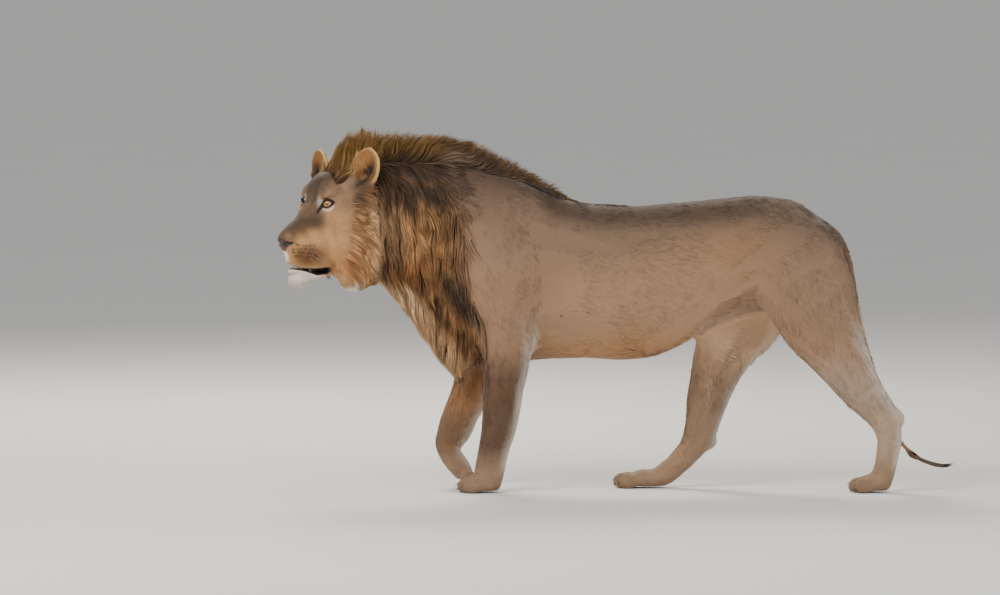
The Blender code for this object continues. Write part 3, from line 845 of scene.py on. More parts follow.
@dataclass
class LionShape:
    """The skin as a signed distance: the frame's solids, smoothed and drawn in by the coat."""

    step: float = 0.004
    BAND = 0.030            # how far from the skin the fine forms are worked in
    sculpt: Sculpt = field(default_factory=Sculpt)
    solid: Field = field(init=False)
    skin: Field = field(init=False)

    def __post_init__(self) -> None:
        """Builds both fields."""
        self.solid = solid_field(self.step, reach=0.068, skirt=0.036)
        coarse = self.coarse_grid()
        nodes = coarse_points(coarse)
        spots = Spots(nodes)
        shape = coarse.values.shape
        depth = Field(coarse.low, coarse.step, Coat.depth(spots).reshape(shape).astype(np.float32))
        barrel = Field(coarse.low, coarse.step, Region.trunk(spots).reshape(shape).astype(np.float32))
        fine, smooth = self.solid.blurred(1, 2), self.solid.blurred(4)
        share = barrel.on(self.solid)
        values = fine.values * (1 - share) + smooth.values * share + depth.on(self.solid)
        self.skin = Field(self.solid.low, self.step, values)

    def coarse_grid(self) -> Field:
        """An empty grid over the same space at three times the step."""
        size = [n // 3 + 2 for n in self.solid.values.shape]
        return Field(self.solid.low, self.step * 3, np.zeros(size, np.float32))

    def distance(self, points: Array) -> Array:
        """The distance to the finished skin, with the fine forms of head and paws."""
        return self.formed(points, self.skin.at(points))

    def formed(self, points: Array, values: Array) -> Array:
        """A plain distance with the fine forms worked in.

        Args:
            points: Points, one a row.
            values: The plain distance at each.
        Returns:
            The finished distance.
        """
        spots = Spots(points)
        values = self.sculpt.head(spots, values)
        for paw in PAWS:
            values = paw.worked(spots, values)
        return values

    def slope(self, points: Array, reach: float = 0.0006) -> Array:
        """The gradient of that distance."""
        return gradient(self.distance, points, reach)

    def with_forms(self) -> Array:
        """The grid's values with the fine forms worked in where the skin runs.

        Returns:
            The values, on the skin's own grid.
        """
        values = self.skin.values.copy()
        nodes = np.argwhere(np.abs(values) < self.BAND)
        points = self.skin.low + nodes * self.step
        near = fine_part(points)
        nodes, points = nodes[near], points[near]
        values[tuple(nodes.T)] = self.formed(points, values[tuple(nodes.T)])
        return values

    def surface(self) -> tuple[Array, Array]:
        """The skin's points and quads, straight from the grid.

        Returns:
            The points and the quads.
        """
        grid = vdb.FloatGrid()
        low = np.round(self.skin.low / self.step).astype(int)
        grid.copyFromArray(np.ascontiguousarray(self.with_forms()), ijk=tuple(int(v) for v in low))
        grid.transform = vdb.createLinearTransform(voxelSize=self.step)
        return grid.convertToQuads(0.0)


def by_head(at: Array, reach: float) -> Array:
    """Which points, in head coordinates, are within reach of the head's middle."""
    return np.linalg.norm(at - (0.16, 0.0, 0.08), axis=1) < reach


def fine_part(points: Array) -> Array:
    """Which points are in the head or the paws, where fine forms are worked in."""
    return by_head(HEAD.local(points), 0.30) | (points[:, 2] < 0.075)


def coarse_points(grid: Field) -> Array:
    """Every node of a grid as a point."""
    mesh = np.meshgrid(*grid.axes(), indexing="ij")
    return np.stack([axis.ravel() for axis in mesh], axis=1)


# ---------------------------------------------------------------- markings
@dataclass(frozen=True)
class Palette:
    """The coat's colours, linear."""

    dorsal: Colour = (0.100, 0.068, 0.045)
    flank: Colour = (0.315, 0.185, 0.104)
    shoulder: Colour = (0.262, 0.155, 0.090)
    belly: Colour = (0.400, 0.195, 0.070)
    inner: Colour = (0.620, 0.410, 0.250)
    shank: Colour = (0.290, 0.180, 0.108)
    # dark brown of the lower legs, partly their own colour and partly painted shade
    shaded_leg_brown: Colour = (0.100, 0.056, 0.031)
    paw: Colour = (0.250, 0.155, 0.092)
    sole: Colour = (0.030, 0.024, 0.022)
    stripe: Colour = (0.060, 0.034, 0.020)
    scar: Colour = (0.050, 0.030, 0.025)
    cheek: Colour = (0.500, 0.262, 0.112)
    brow: Colour = (0.130, 0.092, 0.064)
    crown: Colour = (0.045, 0.028, 0.016)
    bridge: Colour = (0.062, 0.040, 0.025)
    pad: Colour = (0.112, 0.038, 0.006)
    white: Colour = (0.800, 0.715, 0.600)
    russet: Colour = (0.230, 0.070, 0.014)
    orange: Colour = (0.330, 0.135, 0.040)
    cream: Colour = (0.760, 0.500, 0.285)
    nose: Colour = (0.060, 0.026, 0.018)
    black: Colour = (0.008, 0.006, 0.005)
    ear: Colour = (0.300, 0.125, 0.032)
    # near black of the ear's hollow: its dark hair deepened with painted shade
    ear_hollow_shade: Colour = (0.014, 0.008, 0.005)
    # pale ear rim: painted rim light
    rim: Colour = (0.720, 0.460, 0.180)
    gold: Colour = (0.400, 0.205, 0.078)
    blond: Colour = (0.560, 0.320, 0.150)
    rust: Colour = (0.190, 0.076, 0.020)
    brown: Colour = (0.120, 0.060, 0.026)
    dark: Colour = (0.024, 0.015, 0.011)
    olive: Colour = (0.150, 0.074, 0.013)
    tail_end: Colour = (0.080, 0.056, 0.040)


def whisker_places() -> list[tuple[float, float]]:
    """Where the whiskers grow, as x and z on the side of the muzzle, in head coordinates.

    Returns:
        One pair for each whisker of a side.
    """
    rows = ((0.004, 0.040), (-0.009, 0.034), (-0.022, 0.036), (-0.034, 0.042))
    return [
        (start + 0.0125 * k + 0.0028 * math.sin(9.1 * k + 300 * height),
         height - 0.0012 * k + 0.0020 * math.sin(5.3 * k + 170 * height))
        for height, start in rows
        for k in range(6)
    ]


@dataclass
class Markings:
    """The coat's pattern with some painted light and shade, the same for the skin and for the hair that grows
    from it.
    """

    paint: Palette = field(default_factory=Palette)
    LOWER_LIP = (-0.0755, -0.0835, -0.0970, -0.0925, -0.0880)
    SCRATCHES = (       # lines down the near side, as x and z
        ((-0.214, 0.614), (-0.207, 0.596), (-0.210, 0.578)),
        ((-0.122, 0.600), (-0.118, 0.574)),
        ((-0.064, 0.575), (-0.055, 0.566)),
        ((0.190, 0.626), (0.208, 0.624)),
        ((0.205, 0.578), (0.212, 0.564)),
        ((0.148, 0.524), (0.166, 0.520)),
        ((0.020, 0.474), (0.060, 0.468), (0.120, 0.452)),
        ((0.060, 0.452), (0.105, 0.446)),
        ((0.515, 0.800), (0.535, 0.765)),
        ((0.560, 0.660), (0.580, 0.650)),
    )
    VEINS = (           # lines down the far thigh
        ((0.345, 0.455), (0.322, 0.390), (0.303, 0.320)),
        ((0.372, 0.470), (0.395, 0.410), (0.388, 0.350)),
        ((0.322, 0.390), (0.345, 0.360)),
    )

    def __post_init__(self) -> None:
        """Fixes the random variation."""
        self.patch, self.cloud = Ripple(0.22, 11), Ripple(0.06, 12)
        self.streak, self.fleck = Ripple(0.05, 13), Ripple(0.014, 14)

    def colour(self, s: Spots, normal: Array) -> Array:
        """The coat's colour.

        Args:
            s: The points.
            normal: The skin's outward direction at each.
        Returns:
            A linear colour for each point.
        """
        made = self.body(s, normal)
        made = layered(
            made,
            (self.face(s), Region.head(s, 0.36, 0.30)),
            (self.mane(s), np.maximum(Region.mane(s), Region.ridge(s) * 0.8)),
            (self.paint.tail_end, Region.tuft(s)),
        )
        tone = 1 + 0.05 * self.patch.at(s.world) + 0.04 * self.cloud.at(s.world)
        return np.clip(made * tone[:, None], 0.004, 0.9)

    def body(self, s: Spots, normal: Array) -> Array:
        """Trunk, legs and tail: grey-brown above, warm and paler below and inside; some shade and rim light
        painted in.

        Args:
            s: The points.
            normal: The skin's outward direction at each.
        Returns:
            A colour for each point.
        """
        p = self.paint
        x, y, z = s.body.T
        near, far, up, leg = y < 0, y > 0, normal[:, 2], Region.leg(s)
        cloud = self.cloud.at(s.world)
        patchy = 0.020 * cloud + 0.035 * self.patch.at(s.world)
        # top: the darker back, partly its own colour and partly painted shade
        top = rise(0.70, 0.99, z + 0.08 * up + patchy)
        under = rise(0.56, 0.44, z + 0.02 * cloud) * rise(0.3, -0.6, up) * rise(-0.40, -0.30, x)
        # painted shade along the top of the near shoulder blade
        shoulder_shade = spot((x + 0.345) / 0.028, (z - 0.900) / 0.060) * near
        flecks = rise(-1.4, 0.6, self.fleck.at(s.world * (1, 1, 0.4)))
        fore = leg * rise(-0.20, -0.30, x)
        pale = leg * rise(0.30, 0.40, x) * near * rise(0.60, 0.50, z - 0.6 * (x - 0.55)) * rise(0.04, 0.10, z)
        inward = rise(0.1, 0.7, -normal[:, 1] * np.sign(y)) * rise(0.78, 0.55, z)
        inward = inward * rise(0.20, 0.09, np.abs(y)) * rise(-0.1, 0.1, x)
        hock = rise(0.16, 0.09, np.hypot(x - 0.315, (z - 0.185) * 0.8)) * far * rise(0.2, 0.8, normal[:, 0])
        # rear: painted rim light, skin on the legs that faces backwards painted pale as if lit from behind
        rear = rise(0.3, 0.9, normal[:, 0]) * rise(0.62, 0.50, z) * rise(0.04, 0.12, z)
        return layered(
            p.flank,
            (p.shoulder, rise(-0.16, -0.30, x) * rise(0.45, 0.6, z)),
            (p.belly, under * rise(0.62, 0.45, x)),
            (p.dorsal, top * (0.42 + 0.40 * rise(-0.30, -0.15, x))),
            (p.dorsal, 0.30 * spot((x + 0.02) / 0.20, (z - 0.80) / 0.07)),
            (p.belly, 0.35 * spot((x - 0.40) / 0.12, (z - 0.80) / 0.09)),
            (p.shoulder, 0.6 * rise(0.42, 0.54, x) * rise(0.40, 0.50, z)),
            # partly painted shade: skin near the top that faces up is darkened
            (p.dorsal, 0.72 * rise(0.10, 0.80, up) * rise(0.76, 0.88, z)),
            (p.stripe, 0.80 * rise(0.20, 0.70, up) * rise(0.86, 0.92, z) * rise(0.55, 0.40, x)),
            # painted shade at the shoulder blade, broken up by flecks
            (p.stripe, 0.55 * shoulder_shade * flecks),
            (p.dorsal, 0.22 * rise(0.30, 0.42, x) * rise(0.50, 0.60, z) * near),
            (p.shank, leg),
            (p.orange, leg * far * 0.28 + fore * far * 0.30 * rise(0.20, 0.30, z)),
            # lower legs darkened, partly their own brown and partly painted shade, the near foreleg most
            (p.shaded_leg_brown, 0.95 * far * rise(0.46, 0.32, z) * rise(0.1, 0.2, x) * rise(0.05, 0.2, z)),
            (p.shaded_leg_brown, fore * np.where(far, 0.70 * rise(0.30, 0.20, z), 1.0)),
            (p.shaded_leg_brown, 0.45 * near * rise(-0.20, -0.30, x) * rise(0.54, 0.44, z)),
            (p.white, pale * 0.13),
            (p.inner, inward * (0.25 + 0.55 * rise(0.36, 0.48, z))),
            (p.paw, rise(0.14, 0.07, z)),
            (p.sole, rise(0.010, 0.003, z) * rise(-0.7, -0.95, up)),
            (p.stripe, hock * 0.75),
            # painted rim light on the backs of the legs
            (p.white, 0.55 * rear * (1 - Region.tail(s))),
            (p.scar, self.scars(s)),
        )

    def scars(self, s: Spots) -> Array:
        """Old scratches on the near flank and cheek, and the veins of the far thigh.

        Args:
            s: The points.
        Returns:
            Their share at each point.
        """
        marks = np.zeros(len(s.world))
        for line in self.SCRATCHES:
            marks = np.maximum(marks, glow(side_line(s, line), 0.0030))
        marks *= s.body[:, 1] < 0
        for line in self.VEINS:
            marks = np.maximum(marks, 0.6 * glow(side_line(s, line), 0.0060) * (s.body[:, 1] > 0))
        cheek = along(s.side, [(0.2015, 0.128, 0.098), (0.2005, 0.128, 0.086)], [0.0008, 0.0004])
        return np.maximum(marks, glow(cheek, 0.0022) * (s.head[:, 1] < 0)) * 0.8

    def face(self, s: Spots) -> Array:
        """The head: grey-brown above, blond cheeks, white chin, dark eyes and lips; some shade, sheen and rim
        light painted in.

        Args:
            s: The points.
        Returns:
            A colour for each point.
        """
        p = self.paint
        x, y, z = s.side.T
        soft = 0.006 * self.cloud.at(s.world)
        upper = rise(0.070, 0.160, z - 0.25 * np.maximum(0.12 - x, 0) + soft) * rise(0.32, 0.24, x)
        flank = rise(0.022, 0.075, z - 0.22 * x + soft) * rise(0.19, 0.13, x) * rise(0.075, 0.040, y)
        crown = rise(0.165, 0.23, z + soft) * rise(0.085, 0.03, y)
        line = bump(y - 0.020, 0.05 * (x - 0.13), 0.006) * rise(0.11, 0.14, x) * rise(0.25, 0.21, x)
        nose = [(0.004, 0.0, 0.044), (0.030, 0.0, 0.062), (0.062, 0.0, 0.070), (0.120, 0.0, 0.078)]
        dusk = along(s.side * (1.0, 0.0, 1.0), nose, [0.016, 0.015, 0.008, 0.001]) + 0.4 * soft
        ridge = rise(0.020, 0.060, z - 0.9 * x) * rise(0.030, 0.010, y) * rise(0.15, 0.12, x)
        lip = rise(-0.064, -0.073, z + 0.2 * (x - 0.06)) * rise(0.10, 0.05, x) * rise(-0.082, -0.076, z)
        cleft = bump(y, 0.0, 0.009) * rise(0.045, 0.02, x) * rise(-0.014, -0.024, z)
        chin = rise(0.160, 0.118, x) * rise(self.lower_lip(x) - 0.002, self.lower_lip(x) - 0.005, z)
        chin = chin * rise(-0.076, -0.079, z)
        ruff = Region.ruff(s)
        tips = ruff * rise(-0.116, -0.150, z + 0.4 * soft) * rise(0.27, 0.23, x)
        # rear: painted rim light along the ruff's back edge
        rear = ruff * rise(0.270, 0.305, x) * rise(0.16, 0.10, z) * rise(-0.14, -0.08, z)
        made = layered(
            p.cheek,
            (p.brow, upper * 0.66),
            (p.bridge, flank * 0.74),
            (p.crown, crown * 0.85),
            (p.crown, line * 0.7 * rise(0.10, 0.13, z)),
            (p.crown, 0.86 * glow(dusk, 0.028) * rise(0.090, 0.050, y)),
            # painted shade in the hollow between eye and muzzle
            (p.bridge, spot((x - 0.118) / 0.026, (z - 0.070) / 0.017) * 0.45),
            (p.bridge, ridge * 0.6),
            # painted sheen on the top of the nose
            (p.blond, ball(s.side, (0.016, 0.024, 0.036), (0.011, 0.014, 0.008)) * 0.22),
            (p.pad, ball(s.side, (0.080, 0.050, -0.034), (0.066, 0.045, 0.036), 4) * 0.97),
            (p.white, lip),
            (p.white, cleft * rise(-0.085, -0.07, z)),
        )
        made = layered(
            self.whisker_spots(s, made),
            (p.orange, spot((x - 0.200) / 0.030, (z + 0.070) / 0.042, 3) * 0.85),
            (p.white, chin * 0.95),
            (p.shank, chin * 0.30),
            (p.white, tips * 0.85),
            # painted rim light on the ruff's back edge
            (p.cream, rear * 0.55),
        )
        return self.ears(s, self.eyes(s, self.mouth(s, made)))

    def whisker_spots(self, s: Spots, made: Array) -> Array:
        """Rows of dark spots from which the whiskers grow.

        Args:
            s: The points.
            made: The colours so far.
        Returns:
            A colour for each point.
        """
        x, y, z = s.side.T
        for spot_x, spot_z in whisker_places():
            dot = glow(np.hypot((x - spot_x) / 1.3, z - spot_z), 0.0033) * (y > 0.02)
            made = lerp(made, self.paint.dark, dot * 0.92)
        return made

    def lower_lip(self, x: Array) -> Array:
        """z of the lower lip's upper edge at a distance behind the nose."""
        return np.interp(x, (0.05, 0.082, 0.12, 0.156, 0.18), self.LOWER_LIP)

    def mouth(self, s: Spots, made: Array) -> Array:
        """Black lips and the dark inside of the mouth.

        Args:
            s: The points.
            made: The colours so far.
        Returns:
            A colour for each point.
        """
        x, y, z = s.side.T
        p = self.paint
        lower = self.lower_lip(x) - 0.0028
        half = np.interp(x, (0.05, 0.08, 0.12, 0.16), (0.018, 0.031, 0.042, 0.052)) - 0.007
        lips = rise(-0.0738, -0.0755, z) * rise(lower - 0.0012, lower + 0.0012, z) * rise(0.175, 0.165, x)
        inside = rise(half + 0.002, half - 0.002, y) * rise(-0.075, -0.078, z) * rise(lower - 0.004, lower, z)
        curl = [(0.031, 0.003, -0.056), (0.044, 0.011, -0.072), (0.060, 0.020, -0.080)]
        return layered(
            made,
            (p.black, lips),
            (p.black, inside * rise(0.040, 0.050, x) * rise(0.20, 0.19, x)),
            (p.black, ball(s.side, (0.158, 0.055, -0.087), (0.018, 0.014, 0.012), 4)),
            (p.black, glow(along(s.side, curl, [0.0006, 0.0024, 0.0020]), 0.0024)),
            (p.nose, self.leather(s)),
            (p.black, glow(Sculpt.nostril(s), 0.0022)),
        )

    def bare(self, s: Spots) -> Array:
        """How far the skin is hairless: nose, lips, lids and soles.

        Args:
            s: The points.
        Returns:
            The share of bare skin at each point.
        """
        past, ahead = Sculpt().almond(s)
        lid = rise(0.0060, 0.0035, past) * (ahead > -0.002) * (np.abs(ahead) < 0.04)
        x, _, z = s.side.T
        lips = rise(-0.0765, -0.0785, z) * rise(-0.103, -0.100, z) * rise(0.175, 0.165, x) * (x > 0.02)
        sole = rise(0.010, 0.004, s.world[:, 2])
        return np.max([lid, lips, sole, self.leather(s)], axis=0)

    def leather(self, s: Spots) -> Array:
        """The bare skin of the nose.

        Args:
            s: The points.
        Returns:
            Its share at each point.
        """
        x, y, z = s.side.T
        crown = 0.0255 - 9.0 * y * y - 0.10 * np.maximum(y - 0.020, 0)
        base = -0.016 + 0.95 * np.maximum(y - 0.007, 0)
        return rise(0.0012, -0.0012, z - crown) * rise(-0.0012, 0.0012, z - base) * rise(0.036, 0.032, x)

    def eyes(self, s: Spots, made: Array) -> Array:
        """Black lids and tear line, the pale patches round them and the russet spot above.

        Args:
            s: The points.
            made: The colours so far.
        Returns:
            A colour for each point.
        """
        p, shape = self.paint, Sculpt()
        past, ahead = shape.almond(s)
        _, outward, up = shape.from_eye(s)
        near = (ahead > -0.004) * (shape.eye_gap(s) < 0.05)
        front = ahead > -0.010
        under = bump(past, 0.0105, 0.0050) * rise(-0.001, -0.006, up) * rise(0.023, 0.015, outward)
        under *= rise(-0.026, -0.016, outward)
        tear = [(0.143, 0.046, 0.129), (0.131, 0.0445, 0.117), (0.120, 0.044, 0.106)]
        reach = 0.0052 + 0.0034 * rise(-0.003, 0.004, up) + 0.0015 * rise(0.008, 0.016, np.abs(outward))
        return layered(
            made,
            (p.white, under * 0.82 * front),
            (p.white, spot((outward + 0.022) / 0.012, (up - 0.008) / 0.024, 3) * 0.44 * front),
            (p.russet, spot((outward + 0.010) / 0.0085, (up - 0.029) / 0.0120, 4) * 0.62 * front),
            (p.black, glow(along(s.side, tear, [0.0050, 0.0034, 0.0010]), 0.0026) * 0.95),
            (p.black, rise(reach + 0.0012, reach - 0.0012, past) * near),
        )

    def ears(self, s: Spots, made: Array) -> Array:
        """Orange inside, its hollow painted dark as shade and its rim pale as rim light, black at the back of
        the base.

        Args:
            s: The points.
            made: The colours so far.
        Returns:
            A colour for each point.
        """
        p, share = self.paint, Region.ear(s)
        x, y, z = s.ear.T
        front = rise(0.020, 0.013, x)
        fluff = spot((y + 0.018) / 0.018, (z + 0.016) / 0.034, 3)
        # hollow: the ear's hollow, painted near black as shade
        hollow = spot((y - 0.020 - 0.2 * z) / 0.025, (z + 0.026) / 0.052, 4)
        back = rise(0.010, 0.016, x) * spot((y - 0.024) / 0.044, (z + 0.022) / 0.032, 4)
        return layered(
            made,
            (p.ear, share * 0.9),
            (p.gold, fluff * share * front * 0.7),
            (p.ear_hollow_shade, hollow * front * 0.97),
            # painted rim light on the ear's edge
            (p.rim, share * rise(0.90, 0.99, Region.ear_rim(s))),
            (p.dark, back * 0.9),
        )

    def mane(self, s: Spots) -> Array:
        """Blond by the face, streaked brown and black behind, olive along the crest; shade and some light
        painted in.

        Args:
            s: The points.
        Returns:
            A colour for each point.
        """
        p = self.paint
        x, _, z = s.body.T
        edge = Region.rear_edge(z)
        front_edge = np.interp(z, (0.39, 0.50, 0.60, 0.66, 0.70), (-0.57, -0.66, -0.72, -0.80, -0.90))
        streaks = self.streak.at(s.world * (1.0, 1.0, 0.22)) * 0.55
        streaks = streaks + self.cloud.at(s.world * (1.0, 1.0, 0.3)) * 0.35
        front = rise(0.43, 0.35, s.side[:, 0]) * rise(1.00, 0.92, z)
        behind = rise(-0.22, -0.06, x - edge + 0.04 * streaks) * rise(0.40, 0.56, z)
        behind *= 1 - 0.7 * bump(z, 0.74, 0.08)
        locks = 0.34 * rise(0.1, 0.9, streaks) * (1 - front)
        black = rise(0.55, 1.2, streaks) * rise(-0.30, -0.16, x - edge)
        shadow = rise(0.405, 0.350, s.side[:, 0]) * rise(0.98, 0.90, z) * rise(0.70, 0.76, z)
        upper = rise(0.90, 0.98, z + 0.02 * streaks) * rise(-0.90, -0.83, x)
        slant = x + 0.497 + 0.62 * (z - 0.592)
        # pale: the chest's pale front fringe, partly its own colour and partly painted light where the chest
        # faces down
        pale = rise(0.14, 0.05, x - front_edge + 0.03 * streaks) * rise(0.74, 0.66, z)
        return layered(
            p.gold,
            (p.blond, front),
            (p.rust, rise(0.82, 0.72, z) * rise(0.46, 0.58, z) * rise(-0.56, -0.68, x) * 0.88),
            (p.brown, np.clip(behind * 0.40 + locks, 0, 1)),
            (p.dark, black * (0.16 + 0.4 * rise(0.70, 0.64, z))),
            (p.brown, shadow * 0.60),
            (p.brown, upper * 0.92),
            (p.dark, upper * (0.30 + 0.50 * rise(-0.6, 0.8, streaks))),
            (p.olive, rise(1.085, 1.150, z + 0.015 * streaks) * rise(-0.30, -0.42, x) * 0.9),
            (p.olive, Region.crest(s) * rise(-0.80, -0.88, x) * 0.8),
            (p.olive, rise(-0.46, -0.30, x) * 0.7),
            (p.black, spot(slant / 0.042, (z - 0.630) / 0.095, 4) * 0.90),
            # partly painted light on the downward-facing chest front
            (p.cream, pale * (0.42 + 0.44 * rise(0.58, 0.64, z))),
        )


# ---------------------------------------------------------------- meshes
def plain_mesh(name: str, points: Array, faces: Array) -> Mesh:
    """A mesh from arrays.

    Args:
        name: The mesh's name.
        points: One vertex a row.
        faces: Vertex numbers, one face a row, all faces with as many corners.
    Returns:
        The mesh, smooth shaded.
    """
    mesh = bpy.data.meshes.new(name)
    count, corners = faces.shape
    mesh.vertices.add(len(points))
    mesh.vertices.foreach_set("co", np.ascontiguousarray(points, np.float32).ravel())
    mesh.loops.add(count * corners)
    mesh.loops.foreach_set("vertex_index", np.ascontiguousarray(faces, np.int32).ravel())
    mesh.polygons.add(count)
    mesh.polygons.foreach_set("loop_start", np.arange(0, count * corners, corners, dtype=np.int32))
    mesh.polygons.foreach_set("use_smooth", np.ones(count, bool))
    mesh.update(calc_edges=True)
    return mesh


def placed(name: str, mesh: Mesh, *materials: Material) -> Object:
    """The mesh as an object of the scene, with its materials.

    Args:
        name: The object's name.
        mesh: Its mesh.
        materials: Its materials.
    Returns:
        The object.
    """
    made = bpy.data.objects.new(name, mesh)
    bpy.context.scene.collection.objects.link(made)
    for material in materials:
        mesh.materials.append(material)
    return made


def paint(mesh: Mesh, colours: Array, bare: Array | float = 0.0) -> None:
    """Stores for each vertex its colour, and as alpha how hairy it is, for the materials to read.

    Args:
        mesh: The mesh.
        colours: One for each vertex.
        bare: How hairless each vertex is.
    """
    rgba = np.empty((len(colours), 4), np.float32)
    rgba[:, :3] = colours
    rgba[:, 3] = 1.0 - bare
    mesh.attributes.new("Coat", "FLOAT_COLOR", "POINT").data.foreach_set("color", rgba.ravel())


def vertex_places(mesh: Mesh) -> Array:
    """The places of a mesh's vertices, one a row."""
    return read_rows(mesh.vertices, "co", 3).astype(np.float64)


def vertex_normals(mesh: Mesh) -> Array:
    """The normals at a mesh's vertices, one a row."""
    return read_rows(mesh.vertex_normals, "vector", 3).astype(np.float64)


def applied(source: Object) -> Mesh:
    """A plain mesh of what the object's modifiers make; the object itself is removed.

    Args:
        source: The object.
    Returns:
        The mesh.
    """
    graph = bpy.context.evaluated_depsgraph_get()
    made = bpy.data.meshes.new_from_object(source.evaluated_get(graph), depsgraph=graph)
    bpy.data.objects.remove(source)
    return made


# ---------------------------------------------------------------- finishes
def feed(tree: NodeTree, socket: NodeSocket, value: object) -> None:
    """Links an output to a socket, or sets the socket's value.

    Args:
        tree: The tree that holds them.
        socket: The input.
        value: An output socket or a plain value.
    """
    if isinstance(value, NodeSocket):
        tree.links.new(value, socket)
    else:
        socket.default_value = value


def add_node(tree: NodeTree, kind: str, inputs: dict | None = None, **settings: object) -> Node:
    """Adds a node to a tree.

    Args:
        tree: The tree.
        kind: The node's type.
        inputs: Socket name or number to a value, or to the output socket that feeds it.
        settings: The node's own properties.
    Returns:
        The node.
    """
    node = tree.nodes.new(kind)
    for key, value in settings.items():
        setattr(node, key, value)
    for socket, value in (inputs or {}).items():
        feed(tree, node.inputs[socket], value)
    return node


class Nodes:
    """A short way to build a material's nodes."""

    def __init__(self, name: str) -> None:
        """Starts a material with a Principled shader.

        Args:
            name: The material's name.
        """
        self.material = bpy.data.materials.new(name)
        self.material.use_nodes = True
        self.tree = self.material.node_tree
        self.shader = self.tree.nodes["Principled BSDF"]

    def add(self, kind: str, inputs: dict | None = None, **settings: object) -> Node:
        """Adds a node, its kind named without the leading ShaderNode."""
        return add_node(self.tree, "ShaderNode" + kind, inputs, **settings)

    def set(self, **sockets: object) -> None:
        """Feeds the shader's sockets, named with underscores for spaces."""
        for key, value in sockets.items():
            feed(self.tree, self.shader.inputs[key.replace("_", " ")], value)

    def noise(self, scale: float, detail: float, stretch: tuple = (1.0, 1.0, 1.0)) -> NodeSocket:
        """Noise on object coordinates, between 0 and 1.

        Args:
            scale: Its fineness.
            detail: How many finer layers it has.
            stretch: Scale along each axis.
        Returns:
            The output.
        """
        place = self.add("TexCoord").outputs["Object"]
        mapped = self.add("Mapping", {"Vector": place, "Scale": stretch}).outputs["Vector"]
        return self.add("TexNoise", {"Vector": mapped, "Scale": scale, "Detail": detail}).outputs["Fac"]

    def span(self, value: object, low: float, high: float) -> NodeSocket:
        """The value from 0..1 to low..high."""
        return self.add("MapRange", {"Value": value, "To Min": low, "To Max": high}).outputs["Result"]

    def coat_colour(self, variation: NodeSocket, low: float, high: float) -> NodeSocket:
        """The colour stored on the mesh, lightened and darkened by a variation.

        Args:
            variation: The variation, from 0 to 1.
            low: Brightness where it is 0.
            high: Brightness where it is 1.
        Returns:
            The output.
        """
        stored = self.add("Attribute", attribute_name="Coat").outputs["Color"]
        tone = self.span(variation, low, high)
        return self.add("VectorMath", {0: stored, 1: tone}, operation="MULTIPLY").outputs["Vector"]

    def relief(self, height: NodeSocket, strength: float, distance: float) -> NodeSocket:
        """A bumped normal."""
        bump_node = self.add("Bump", {"Height": height, "Strength": strength, "Distance": distance})
        return bump_node.outputs["Normal"]


@dataclass(frozen=True)
class ShortCoat:
    """The skin with its nap of hair too fine to model."""

    grain: float = 420.0
    roughness: float = 0.82
    sheen: float = 0.12

    def material(self) -> Material:
        """Builds the material.

        Returns:
            The material.
        """
        n = Nodes("short_coat")
        grain = n.noise(self.grain, 4.0, (0.35, 1.0, 0.5))
        hairy = n.add("Attribute", attribute_name="Coat").outputs["Alpha"]
        n.set(
            Base_Color=n.coat_colour(grain, 0.80, 1.20), Roughness=n.span(hairy, 0.36, self.roughness),
            Specular_IOR_Level=0.25, Sheen_Weight=self.sheen, Sheen_Roughness=0.5,
            Normal=n.relief(grain, 0.35, 0.0015),
        )
        return n.material


@dataclass(frozen=True)
class Hair:
    """Tufts and locks, a little glossy along their length."""

    name: str
    roughness: float = 0.66
    sheen: float = 0.03

    def material(self) -> Material:
        """Builds the material.

        Returns:
            The material.
        """
        n = Nodes(self.name)
        strand = n.noise(900.0, 2.0)
        colour = n.coat_colour(strand, 0.82, 1.18)
        n.set(Base_Color=colour, Roughness=self.roughness, Specular_IOR_Level=0.35,
              Sheen_Weight=self.sheen, Sheen_Roughness=0.4)
        return n.material


